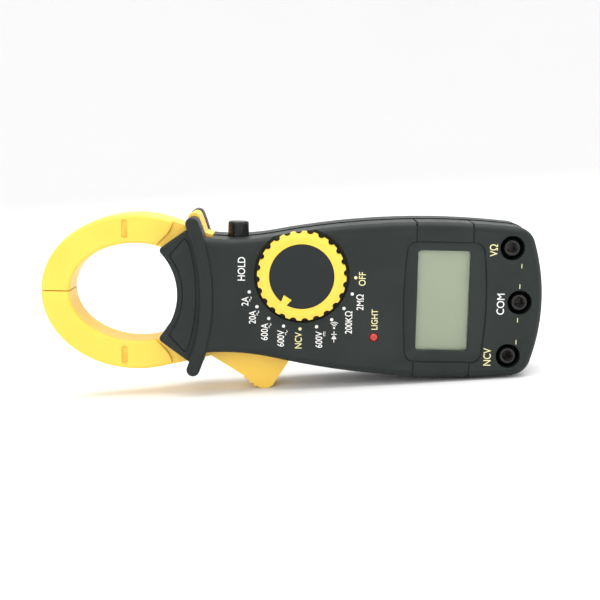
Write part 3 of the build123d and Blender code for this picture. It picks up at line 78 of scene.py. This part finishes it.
class Look:
    """A node material with the handful of helpers that the recipes below share."""

    def __init__(self, name, color, roughness, **values):
        self.material = bpy.data.materials.new(name)
        self.material.use_nodes = True
        self.tree = self.material.node_tree
        self.shader = self.tree.nodes["Principled BSDF"]
        self.shader.inputs["Base Color"].default_value = (*color, 1)
        self.shader.inputs["Roughness"].default_value = roughness
        for socket, value in values.items():
            self.shader.inputs[socket.replace("_", " ")].default_value = value
        self.coords = self.add("ShaderNodeTexCoord").outputs["Object"]
        self.height = None

    def add(self, kind, **settings):
        made = self.tree.nodes.new(kind)
        for name, value in settings.items():
            setattr(made, name, value)
        return made

    def link(self, output, target):
        self.tree.links.new(output, target)

    def noise(self, size, detail=3.0, rough=0.5, stretch=(1, 1, 1), warp=0.0):
        """Noise whose features are about size metres across."""
        mapping = self.add("ShaderNodeMapping")
        mapping.inputs["Scale"].default_value = stretch
        self.link(self.coords, mapping.inputs["Vector"])
        made = self.add("ShaderNodeTexNoise")
        made.inputs["Scale"].default_value = 1 / size
        made.inputs["Detail"].default_value = detail
        made.inputs["Roughness"].default_value = rough
        made.inputs["Distortion"].default_value = warp
        self.link(mapping.outputs["Vector"], made.inputs["Vector"])
        return made.outputs["Fac"]

    def cells(self, size, feature="F1"):
        made = self.add("ShaderNodeTexVoronoi", feature=feature)
        made.inputs["Scale"].default_value = 1 / size
        self.link(self.coords, made.inputs["Vector"])
        return made.outputs["Distance"]

    def spread(self, value, low, high, to_low=0.0, to_high=1.0):
        """Map the part of a value between low and high to a new range."""
        made = self.add("ShaderNodeMapRange")
        made.inputs["From Min"].default_value = low
        made.inputs["From Max"].default_value = high
        made.inputs["To Min"].default_value = to_low
        made.inputs["To Max"].default_value = to_high
        self.link(value, made.inputs["Value"])
        return made.outputs["Result"]

    def mix(self, mask, first, second):
        """A colour between two colours; each is a tuple or a socket."""
        made = self.add("ShaderNodeMix", data_type="RGBA")
        self.link(mask, made.inputs["Factor"])
        colour_inputs = [socket for socket in made.inputs if socket.type == "RGBA"]
        for socket, value in zip(colour_inputs, (first, second)):
            if isinstance(value, tuple):
                socket.default_value = (*value, 1)
            else:
                self.link(value, socket)
        return [socket for socket in made.outputs if socket.type == "RGBA"][0]

    def multiply(self, first, second):
        made = self.add("ShaderNodeMath", operation="MULTIPLY")
        for socket, value in zip(made.inputs, (first, second)):
            if isinstance(value, (int, float)):
                socket.default_value = value
            else:
                self.link(value, socket)
        return made.outputs["Value"]

    def plus(self, first, second):
        made = self.add("ShaderNodeMath", operation="ADD")
        self.link(first, made.inputs[0])
        self.link(second, made.inputs[1])
        return made.outputs["Value"]

    def axis(self, letter):
        made = self.add("ShaderNodeSeparateXYZ")
        self.link(self.coords, made.inputs["Vector"])
        return made.outputs[letter]

    def color(self, value):
        self.link(value, self.shader.inputs["Base Color"])

    def roughness(self, value):
        self.link(value, self.shader.inputs["Roughness"])

    def bump(self, value, depth, strength=1.0):
        """Raise the surface by value times depth metres, on top of earlier bumps."""
        made = self.add("ShaderNodeBump")
        made.inputs["Strength"].default_value = strength
        made.inputs["Distance"].default_value = depth
        self.link(value, made.inputs["Height"])
        if self.height is not None:
            self.link(self.height, made.inputs["Normal"])
        self.height = made.outputs["Normal"]
        self.link(self.height, self.shader.inputs["Normal"])


def edge_mask(look, low, high):
    """Sharp outer edges, or with low above high the inner corners, as a mask."""
    geometry = look.add("ShaderNodeNewGeometry")
    return look.spread(geometry.outputs["Pointiness"], low, high)


def moulded_plastic(name, dark, light, roughness, grain, grain_depth, **values):
    """Injection moulded plastic: fine spark-eroded grain, faint flow clouds, and sharp edges painted
    lighter as a painted highlight and made a little less rough.
    """
    look = Look(name, dark, roughness, **values)
    clouds = look.noise(16 * MM, 2.0, 0.5, warp=0.4)
    specks = look.spread(look.noise(0.6 * MM, 2.0, 0.6), 0.35, 0.75)
    tint = look.mix(look.spread(clouds, 0.25, 0.75), dark, light)
    tint = look.mix(look.multiply(specks, 0.35), tint, light)
    # Painted highlight: sharp outer edges are painted a lighter colour, as if catching the light; they
    # are also made a little less rough.
    edge_highlight_and_wear = edge_mask(look, 0.52, 0.60)
    bright = tuple(min(1.0, channel * 1.4 + 0.006) for channel in light)
    look.color(look.mix(look.multiply(edge_highlight_and_wear, 0.35), tint, bright))
    base = look.spread(look.noise(5 * MM, 3.0), 0.3, 0.7, roughness - 0.05, roughness + 0.05)
    look.roughness(look.plus(base, look.spread(edge_highlight_and_wear, 0, 1, 0.0, -0.06)))
    look.bump(look.noise(grain, 2.0, 0.7), grain_depth)
    look.bump(look.noise(grain * 4, 2.0), grain_depth * 1.5, 0.5)
    return look


def gloss_plastic(name, dark, light, roughness, **values):
    """Smooth plastic with flow marks, faint hairline scratches, orange peel and painted shade in its
    creases.
    """
    look = Look(name, dark, roughness, **values)
    flow = look.noise(22 * MM, 2.0, 0.5, warp=1.2)
    tint = look.mix(look.spread(flow, 0.3, 0.7), dark, light)
    specks = look.spread(look.cells(3.1 * MM), 0.055, 0.02)
    dull = tuple(channel * 0.72 for channel in dark)
    tint = look.mix(look.multiply(specks, 0.25), tint, dull)
    # Painted shade: inner corners and creases are tinted a darker, more saturated colour, where shade
    # falls.
    crease_shade = (dark[0] * 0.85, dark[1] * 0.62, dark[2] * 0.35)
    look.color(look.mix(look.multiply(edge_mask(look, 0.485, 0.44), 0.7), tint, crease_shade))
    scratch = look.spread(look.noise(0.9 * MM, 3.0, 0.6, stretch=(1, 6, 0.35)), 0.66, 0.74)
    base = look.spread(look.noise(9 * MM, 3.0), 0.3, 0.7, roughness - 0.04, roughness + 0.06)
    look.roughness(look.plus(base, look.multiply(scratch, 0.12)))
    look.bump(look.noise(2.6 * MM, 2.0), 0.012 * MM)
    look.bump(look.noise(0.28 * MM, 2.0, 0.6), 0.003 * MM)
    return look


def metal(name, color, roughness, stretch=(1, 1, 8), **values):
    """Drawn or turned metal: streaks along one direction and a little tarnish."""
    look = Look(name, color, roughness, Metallic=1.0, **values)
    streaks = look.noise(0.5 * MM, 4.0, 0.6, stretch=stretch)
    dull = tuple(channel * 0.6 for channel in color)
    tarnish = look.spread(look.noise(3 * MM, 3.0, 0.6, warp=1.0), 0.5, 0.8)
    look.color(look.mix(look.multiply(tarnish, 0.5), color, dull))
    look.roughness(look.spread(streaks, 0.3, 0.7, roughness - 0.08, roughness + 0.12))
    look.bump(streaks, 0.006 * MM)
    return look


def board_look(name):
    """Green solder mask over copper tracks, with the weave of the glass cloth below."""
    look = Look(name, (0.012, 0.09, 0.04), 0.35, Coat_Weight=0.4, Coat_Roughness=0.15)
    brick = look.add("ShaderNodeTexBrick")
    brick.inputs["Scale"].default_value = 420
    brick.inputs["Mortar Size"].default_value = 0.035
    brick.inputs["Row Height"].default_value = 0.35
    brick.inputs["Brick Width"].default_value = 1.4
    turn = look.add("ShaderNodeMapping")
    turn.inputs["Rotation"].default_value = (math.pi / 2, 0, 0)
    look.link(look.coords, turn.inputs["Vector"])
    look.link(turn.outputs["Vector"], brick.inputs["Vector"])
    tracks = look.spread(brick.outputs["Fac"], 0.2, 0.8)
    weave = look.noise(0.6 * MM, 2.0, stretch=(3, 1, 1))
    ground = look.mix(weave, (0.010, 0.075, 0.032), (0.018, 0.12, 0.055))
    look.color(look.mix(look.multiply(tracks, 0.8), ground, (0.03, 0.22, 0.09)))
    look.bump(tracks, 0.03 * MM)
    look.bump(weave, 0.01 * MM)
    return look


def copper_winding(name):
    """Enamelled wire laid turn by turn round the core."""
    look = Look(name, (0.55, 0.20, 0.08), 0.35, Metallic=0.85, Coat_Weight=0.5)
    wave = look.add("ShaderNodeTexWave", wave_type="BANDS", bands_direction="X")
    wave.inputs["Scale"].default_value = 520
    wave.inputs["Distortion"].default_value = 0.6
    wave.inputs["Detail Scale"].default_value = 60
    look.link(look.coords, wave.inputs["Vector"])
    # Painted shade: each turn is painted lighter along its crown and darker where it meets the next
    # turn.
    look.color(look.mix(wave.outputs["Fac"], (0.22, 0.07, 0.03), (0.68, 0.28, 0.12)))
    look.bump(wave.outputs["Fac"], 0.12 * MM)
    return look


def laminated_steel(name):
    """Stacked core sheets: fine dark joints across the depth, with a grey varnish."""
    look = Look(name, (0.40, 0.40, 0.42), 0.45, Metallic=0.9)
    wave = look.add("ShaderNodeTexWave", wave_type="BANDS", bands_direction="Y")
    wave.inputs["Scale"].default_value = 300
    wave.inputs["Distortion"].default_value = 0.3
    look.link(look.coords, wave.inputs["Vector"])
    joint = look.spread(wave.outputs["Fac"], 0.05, 0.25)
    rust = look.spread(look.noise(2.5 * MM, 4.0, 0.6), 0.55, 0.8)
    sheet = look.mix(look.multiply(rust, 0.5), (0.42, 0.42, 0.44), (0.30, 0.22, 0.17))
    look.color(look.mix(joint, (0.12, 0.12, 0.13), sheet))
    look.bump(joint, 0.03 * MM)
    look.bump(look.noise(0.5 * MM, 3.0), 0.01 * MM)
    return look


def printed_wrap(name):
    """A cell's plastic sleeve: a dark wrap, a copper-coloured band at one end, fine print grain."""
    look = Look(name, (0.02, 0.02, 0.025), 0.28, Coat_Weight=0.3, Coat_Roughness=0.1)
    low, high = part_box("cell_upper")
    along = look.axis("X")
    band = look.spread(along, low.x + 0.70 * (high.x - low.x), low.x + 0.705 * (high.x - low.x))
    grain = look.noise(0.8 * MM, 3.0, stretch=(0.3, 3, 3))
    dark = look.mix(grain, (0.018, 0.018, 0.022), (0.030, 0.030, 0.036))
    bright = look.mix(grain, (0.42, 0.22, 0.08), (0.55, 0.30, 0.12))
    look.color(look.mix(band, dark, bright))
    look.bump(look.noise(4 * MM, 2.0), 0.03 * MM)
    return look


def lcd_look(name):
    """A blank reflective liquid crystal: grey green, with a faint cell grid, an uneven polariser and
    painted light that makes it lighter toward its top.
    """
    look = Look(name, (0.40, 0.45, 0.32), 0.45, Coat_Weight=0.15, Coat_Roughness=0.1)
    # Painted light: the cell is painted lighter toward its top, as if lit from above.
    shade = look.spread(look.axis("Z"), window_low.z, window_high.z)
    clouds = look.noise(11 * MM, 2.0, 0.5)
    ground = look.mix(shade, (0.390, 0.435, 0.290), (0.475, 0.525, 0.360))
    ground = look.mix(look.multiply(look.spread(clouds, 0.3, 0.7), 0.2), ground, (0.40, 0.45, 0.31))
    grain = look.spread(look.noise(0.18 * MM, 2.0, 0.8), 0.35, 0.65)
    look.color(look.mix(look.multiply(grain, 0.05), ground, (0.35, 0.39, 0.27)))
    look.bump(grain, 0.002 * MM)
    return look


def glass_look(name):
    """The clear window: smooth, with faint wipe marks."""
    look = Look(name, (0.95, 0.98, 0.95), 0.06, Transmission_Weight=1.0, IOR=1.45)
    smear = look.noise(6 * MM, 4.0, 0.6, stretch=(1, 1, 0.3), warp=1.5)
    look.roughness(look.spread(smear, 0.4, 0.8, 0.03, 0.12))
    look.bump(look.noise(9 * MM, 1.0), 0.01 * MM)
    return look


def led_look(name):
    """Red tinted epoxy, lighter and darker in small random patches."""
    look = Look(name, (0.42, 0.012, 0.010), 0.18, Coat_Weight=0.4, Coat_Roughness=0.05)
    glow = look.spread(look.noise(0.9 * MM, 2.0), 0.35, 0.65)
    look.color(look.mix(glow, (0.36, 0.008, 0.007), (0.52, 0.025, 0.018)))
    look.bump(look.noise(0.6 * MM, 2.0), 0.004 * MM)
    return look


def print_look(name, color):
    """Screen printed ink: slightly uneven, with pin holes."""
    look = Look(name, color, 0.6)
    edge_highlight_and_wear = look.spread(look.noise(0.25 * MM, 3.0, 0.7), 0.62, 0.8)
    dull = tuple(channel * 0.7 for channel in color)
    look.color(look.mix(look.multiply(edge_highlight_and_wear, 0.6), color, dull))
    look.bump(look.noise(0.2 * MM, 2.0), 0.004 * MM)
    return look


GREY_DARK = (0.0155, 0.0195, 0.0185)
GREY_LIGHT = (0.0190, 0.0240, 0.0230)
looks = {
    "case_grey": moulded_plastic(
        "case_plastic", GREY_DARK, GREY_LIGHT, 0.45, 0.35 * MM, 0.016 * MM, Specular_IOR_Level=0.17
    ),
    "jaw_yellow": gloss_plastic(
        "jaw_plastic", (0.92, 0.580, 0.062), (0.94, 0.615, 0.072), 0.38,
        Subsurface_Weight=0.12, Subsurface_Scale=0.002, Subsurface_Radius=(1.0, 0.6, 0.1),
    ),
    "dial_yellow": gloss_plastic(
        "dial_plastic", (0.86, 0.560, 0.055), (0.90, 0.600, 0.065), 0.42,
        Subsurface_Weight=0.12, Subsurface_Scale=0.0015, Subsurface_Radius=(1.0, 0.6, 0.1),
    ),
    "cap_black": moulded_plastic(
        "cap_plastic", (0.014, 0.017, 0.017), (0.018, 0.021, 0.021), 0.45, 0.5 * MM, 0.008 * MM,
        Specular_IOR_Level=0.11,
    ),
    "button_black": gloss_plastic(
        "button_plastic", (0.010, 0.010, 0.010), (0.015, 0.015, 0.015), 0.2, Specular_IOR_Level=0.3
    ),
    "window_clear": glass_look("window_glass"),
    "lcd_grey": lcd_look("lcd_cell"),
    "inner_plastic": moulded_plastic(
        "inner_plastic", (0.45, 0.45, 0.42), (0.52, 0.52, 0.49), 0.5, 0.4 * MM, 0.01 * MM
    ),
    "strip_rubber": moulded_plastic(
        "strip_rubber", (0.10, 0.10, 0.105), (0.16, 0.16, 0.17), 0.7, 0.25 * MM, 0.02 * MM
    ),
    "board_green": board_look("circuit_board"),
    "chip_black": moulded_plastic(
        "chip_epoxy", (0.012, 0.012, 0.012), (0.02, 0.02, 0.02), 0.55, 0.2 * MM, 0.008 * MM
    ),
    "part_blue": gloss_plastic("component_blue", (0.02, 0.05, 0.22), (0.03, 0.08, 0.30), 0.3),
    "led_red": led_look("led_epoxy"),
    "core_steel": laminated_steel("core_sheets"),
    "coil_copper": copper_winding("coil_wire"),
    "steel": metal("plated_steel", (0.62, 0.62, 0.64), 0.3),
    # Painted shade: the socket metal is given a near-black colour, standing in for the shade far down
    # inside the bores.
    "socket_brass": metal("socket_metal_painted_shade", (0.10, 0.095, 0.09), 0.22),
    "cell_wrap": printed_wrap("cell_sleeve"),
}
# Painted shade: the socket posts are made near black, darker than the case grey, standing in for the
# shade down in the socket wells.
post_painted_shade_look = gloss_plastic(
    "post_plastic", (0.006, 0.006, 0.006), (0.010, 0.010, 0.010), 0.20, Specular_IOR_Level=0.35
)
white_print = print_look("print_white", (0.84, 0.84, 0.82))
yellow_print = print_look("print_pale_yellow", (0.80, 0.74, 0.38))

for row in frame["record"]["subparts"]:
    look = looks[row["material_slot"]]
    if row["node"].startswith("jack_post"):
        look = post_painted_shade_look
    mesh = nodes[row["node"]].data
    mesh.materials.clear()
    mesh.materials.append(look.material)


# ============================ printed marks ============================


def mesh_piece(name, mesh, body, look):
    """Link a mesh as a piece that rides on a body."""
    mesh.materials.clear()
    mesh.materials.append(look.material)
    piece = bpy.data.objects.new(name, mesh)
    bpy.context.scene.collection.objects.link(piece)
    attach(piece, body)
    return piece


FONT_CAP = 0.73       # height of a capital letter, per unit of the font's size
INK = 0.035 * MM      # how far the ink stands above the face
SUNK = 0.10 * MM      # how far its underside is sunk into the face


def text_mesh(text, x, z, height, squeeze=1.0, y=face_y):
    """Ink in the shape of a text that reads upward, centred on a place of the front face."""
    curve = bpy.data.curves.new("print", "FONT")
    curve.body = text
    curve.align_x = "CENTER"
    curve.align_y = "CENTER"
    curve.size = height / FONT_CAP
    curve.offset = height * 0.006
    curve.extrude = (INK + SUNK) / 2
    curve.resolution_u = 4
    holder = bpy.data.objects.new("print", curve)
    bpy.context.scene.collection.objects.link(holder)
    bpy.context.view_layer.update()
    evaluated = holder.evaluated_get(bpy.context.evaluated_depsgraph_get())
    mesh = bpy.data.meshes.new_from_object(evaluated)
    bpy.data.objects.remove(holder)
    mesh.transform(Matrix.Diagonal((squeeze, 1, 1, 1)))
    # Reading direction +Z, the letters' tops toward -X, the ink's face toward -Y.
    turn = Matrix(((0, -1, 0, 0), (0, 0, -1, 0), (1, 0, 0, 0), (0, 0, 0, 1)))
    mesh.transform(Matrix.Translation((x, y - (INK - SUNK) / 2, z)) @ turn)
    return mesh


def outline_mesh(points, y=face_y):
    """A flat printed shape from its corners (x, z), as a thin closed solid."""
    made = bmesh.new()
    front = [made.verts.new((x, y - INK, z)) for x, z in points]
    back = [made.verts.new((x, y + SUNK, z)) for x, z in points]
    made.faces.new(front)
    made.faces.new(reversed(back))
    for i in range(len(points)):
        j = (i + 1) % len(points)
        made.faces.new((front[j], front[i], back[i], back[j]))
    bmesh.ops.recalc_face_normals(made, faces=made.faces)
    mesh = bpy.data.meshes.new("print")
    made.to_mesh(mesh)
    made.free()
    return mesh


def dot_mesh(x, z, radius):
    turns = [math.tau * i / 20 for i in range(20)]
    return outline_mesh([(x + radius * math.cos(t), z + radius * math.sin(t)) for t in turns])


def bar_mesh(x, z, length, width, angle=0.0):
    """A straight printed line, centred on (x, z)."""
    along = Vector((math.cos(angle), math.sin(angle))) * length / 2
    side = Vector((-math.sin(angle), math.cos(angle))) * width / 2
    centre = Vector((x, z))
    corners = (along + side, along - side, -along - side, -along + side)
    return outline_mesh([tuple(centre + corner) for corner in corners])


def arc_mesh(x, z, radius, width, start, end):
    """A printed arc about (x, z), from one angle to another."""
    steps = 8
    outer = []
    inner = []
    for i in range(steps + 1):
        turn = start + (end - start) * i / steps
        outer.append((x + radius * math.cos(turn), z + radius * math.sin(turn)))
        inner.append((x + (radius - width) * math.cos(turn), z + (radius - width) * math.sin(turn)))
    return outline_mesh(outer + inner[::-1])


def printed_piece(name, meshes, look):
    """Join printed shapes into one piece on the case."""
    joined = bmesh.new()
    for mesh in meshes:
        joined.from_mesh(mesh)
        bpy.data.meshes.remove(mesh)
    mesh = bpy.data.meshes.new(name)
    joined.to_mesh(mesh)
    joined.free()
    return mesh_piece(name, mesh, "case", look)


cx, cz = dial_centre.x, dial_centre.z
DOT_CIRCLE = 20.9 * MM      # printed a little off the dial's own centre
DOT_SHIFT = (-0.25 * MM, 0.2 * MM)
DOT_START = math.radians(-1.8)
DOT_STEP = math.radians(17.66)
DOT_R = 0.62 * MM
LETTER = 2.75 * MM
SQUEEZE = 0.82              # the letters are condensed
MARK_GAP = 0.75 * MM        # from a range's last letter to its current mark
MARK_DROP = 0.9 * MM        # from the letters' top down to the mark's middle
MARK_LINE = 0.2 * MM
WAVE_R = 0.5 * MM
WAVE_HALF = 0.45 * MM

# Range labels, from the right-hand dot clockwise: text, its centre from the dial's centre in mm,
# its ink, and the current mark beside its last letter.
ranges = [
    ("OFF", 23.3, -0.9, "yellow", None),
    ("2MΩ", 22.7, -9.9, "white", None),
    ("200KΩ", 18.5, -17.8, "white", None),
    (None, 12.8, -21.3, "white", None),
    ("600V", 7.2, -24.8, "white", "direct"),
    ("NCV", -0.7, -25.3, "yellow", None),
    ("600V", -7.5, -24.6, "white", "alternating"),
    ("600A", -13.8, -22.1, "white", "alternating"),
    ("20A", -18.5, -16.5, "white", "alternating"),
    ("2A", -21.4, -10.4, "white", "alternating"),
]
prints = {"white": [], "yellow": []}


def current_mark(kind, x, z):
    """A small wave, or a line over a broken line, that reads upward beside a letter."""
    if kind == "alternating":
        lower = arc_mesh(x, z - WAVE_HALF, WAVE_R, MARK_LINE, math.pi / 2, 3 * math.pi / 2)
        upper = arc_mesh(x, z + WAVE_HALF, WAVE_R, MARK_LINE, -math.pi / 2, math.pi / 2)
        return [lower, upper]
    made = [bar_mesh(x - 0.3 * MM, z, 1.8 * MM, MARK_LINE, math.pi / 2)]
    for part in (-1, 0, 1):
        made.append(bar_mesh(x + 0.2 * MM, z + part * 0.68 * MM, 0.42 * MM, MARK_LINE, math.pi / 2))
    return made


for stop, (label, dx, dz, ink, mark) in enumerate(ranges):
    turn = DOT_START - stop * DOT_STEP
    spot_x = cx + DOT_SHIFT[0] + DOT_CIRCLE * math.cos(turn)
    spot_z = cz + DOT_SHIFT[1] + DOT_CIRCLE * math.sin(turn)
    prints[ink].append(dot_mesh(spot_x, spot_z, DOT_R))
    if label:
        letters = text_mesh(label, cx + dx * MM, cz + dz * MM, LETTER, SQUEEZE)
        prints[ink].append(letters)
        if mark:
            right = max(corner.co.x for corner in letters.vertices)
            top = max(corner.co.z for corner in letters.vertices)
            prints[ink] += current_mark(mark, right + MARK_GAP, top - MARK_DROP)


def continuity_mark(x, z):
    """A diode below, and a sound dot with three waves above it."""
    diode_z = z - 2.2 * MM
    half = 1.0 * MM
    sound_z = z + 1.2 * MM
    arrow = [(x - half, diode_z - 0.9 * MM), (x + half, diode_z - 0.9 * MM), (x, diode_z + 0.8 * MM)]
    made = [
        outline_mesh(arrow),
        bar_mesh(x, diode_z + 0.95 * MM, 2 * half, 0.28 * MM),
        bar_mesh(x, diode_z, 4.4 * MM, 0.25 * MM, math.pi / 2),
        dot_mesh(x, sound_z, 0.38 * MM),
    ]
    for ring in range(3):
        wave_r = (1.1 + 0.65 * ring) * MM
        made.append(arc_mesh(x, sound_z, wave_r, 0.26 * MM, 0.9, math.pi - 0.9))
    return made


prints["white"] += continuity_mark(cx + 12.8 * MM, cz - 21.3 * MM)

# Words of the button, the lamp and the sockets: text, X and height above the axis in mm,
# letter height in mm, squeeze, ink.
words = [
    ("HOLD", -18.5, 11.0, 3.0, 0.82, "white"),
    ("LIGHT", 32.8, -7.7, 2.5, 0.84, "yellow"),
    ("VΩ", 77.5, 20.0, 3.0, 0.85, "yellow"),
    ("COM", 80.9, -0.7, 3.0, 0.9, "white"),
    ("NCV", 76.6, -21.5, 3.0, 0.82, "yellow"),
]
for text, x, height, letter, squeeze, ink in words:
    prints[ink].append(text_mesh(text, x * MM, axis_z + height * MM, letter * MM, squeeze))

# Short lines between the sockets: X and height above the axis, in mm.
DASH_LENGTH = 1.7 * MM
DASH_WIDTH = 0.28 * MM
for dash_x, dash_h in ((88.2, 14.1), (87.8, 6.2), (87.5, -6.8), (87.3, -15.4)):
    dash = bar_mesh(dash_x * MM, axis_z + dash_h * MM, DASH_LENGTH, DASH_WIDTH, math.pi / 2)
    prints["yellow"].append(dash)

printed_piece("print_white", prints["white"], white_print)
printed_piece("print_yellow", prints["yellow"], yellow_print)


# ============================ stage ============================


FLOOR_FLAT = 1.6                    # how far the floor is flat, from its middle
FLOOR_BEND = 0.9                    # radius of its rise
BEND_STEPS = 12
FLOOR_STEPS = 64                    # round the floor
FLOOR_SLOPE = math.radians(4.6)
TRIGGER_TIP_X = -9.4 * MM


def stage_profile():
    """The floor and its curved rise, as (distance from the middle, height)."""
    points = [(0.3, 0.0), (0.9, 0.0), (FLOOR_FLAT, 0.0)]
    for i in range(1, BEND_STEPS + 1):
        turn = math.radians(90 * i / BEND_STEPS)
        points.append((FLOOR_FLAT + FLOOR_BEND * math.sin(turn), FLOOR_BEND * (1 - math.cos(turn))))
    return points


def build_stage():
    """A pale floor that curves up all round; it leans so that the meter stands on trigger and end."""
    made = bmesh.new()
    centre = made.verts.new((0, 0, 0))
    rings = []
    for distance, height in stage_profile():
        turns = [math.tau * i / FLOOR_STEPS for i in range(FLOOR_STEPS)]
        places = [(distance * math.cos(turn), distance * math.sin(turn), height) for turn in turns]
        rings.append([made.verts.new(place) for place in places])
    for i in range(FLOOR_STEPS):
        j = (i + 1) % FLOOR_STEPS
        made.faces.new((centre, rings[0][i], rings[0][j]))
        for lower, upper in zip(rings, rings[1:]):
            made.faces.new((lower[i], upper[i], upper[j], lower[j]))
    mesh = bpy.data.meshes.new("floor")
    made.to_mesh(mesh)
    made.free()
    mesh.polygons.foreach_set("use_smooth", [True] * len(mesh.polygons))
    lean = Matrix.Rotation(-FLOOR_SLOPE, 4, "Y")
    mesh.transform(Matrix.Translation((TRIGGER_TIP_X, 0, cad_bounds[0][2])) @ lean)
    look = Look("floor_paper", (0.90, 0.90, 0.90), 0.8, Specular_IOR_Level=0.2)
    tone = look.noise(0.35, 2.0)
    look.color(look.mix(tone, (0.89, 0.89, 0.89), (0.92, 0.92, 0.92)))
    mesh.materials.append(look.material)
    floor = bpy.data.objects.new("floor", mesh)
    bpy.context.scene.collection.objects.link(floor)


build_stage()

# Soft boxes: name, place, width, height, power in watts.
soft_boxes = [
    ("soft_top", (0.0, 0.05, 0.95), 1.1, 0.9, 9.0),
    ("soft_front", (-0.35, -0.95, 0.55), 0.8, 0.8, 2.6),
    ("soft_right", (0.95, -0.35, 0.45), 0.6, 0.6, 1.6),
]


def area_light(name, place, width, height, power):
    """A soft box that points at the meter's middle."""
    data = bpy.data.lights.new(name, "AREA")
    data.shape = "RECTANGLE"
    data.size = width
    data.size_y = height
    data.energy = power
    light = bpy.data.objects.new(name, data)
    light.location = place
    aim = Vector((0, 0, axis_z)) - Vector(place)
    light.rotation_euler = aim.to_track_quat("-Z", "Y").to_euler()
    bpy.context.scene.collection.objects.link(light)


for soft_box in soft_boxes:
    area_light(*soft_box)

world = bpy.data.worlds.new("studio")
world.use_nodes = True
world.node_tree.nodes["Background"].inputs["Color"].default_value = (1, 1, 1, 1)
world.node_tree.nodes["Background"].inputs["Strength"].default_value = 1.0
bpy.context.scene.world = world
bpy.context.scene.view_settings.view_transform = "Standard"
bpy.context.scene.view_settings.look = "None"
bpy.context.scene.view_settings.exposure = 0.0

# ============================ camera ============================

VIEW_HEIGHT = math.radians(8.5)
VIEW_ROLL = math.radians(1.07)
VIEW_DISTANCE = 0.441
VIEW_LENS = 69.2            # millimetres, for a sensor 36 mm wide
VIEW_TARGET = Vector((3.9 * MM, face_y - 0.7 * MM, axis_z - 0.45 * MM))

forward = Vector((0, math.cos(VIEW_HEIGHT), -math.sin(VIEW_HEIGHT)))
level_right = Vector((1, 0, 0))
level_up = level_right.cross(forward)
right = level_right * math.cos(VIEW_ROLL) + level_up * math.sin(VIEW_ROLL)
up = level_up * math.cos(VIEW_ROLL) - level_right * math.sin(VIEW_ROLL)
camera_data = bpy.data.cameras.new("camera")
camera_data.lens = VIEW_LENS
camera_data.sensor_width = 36.0
camera_data.clip_start = 0.01
camera_data.clip_end = 20
camera = bpy.data.objects.new("camera", camera_data)
bpy.context.scene.collection.objects.link(camera)
place = VIEW_TARGET - forward * VIEW_DISTANCE
camera.matrix_world = Matrix(
    (
        (right.x, up.x, -forward.x, place.x),
        (right.y, up.y, -forward.y, place.y),
        (right.z, up.z, -forward.z, place.z),
        (0, 0, 0, 1),
    )
)
bpy.context.scene.camera = camera
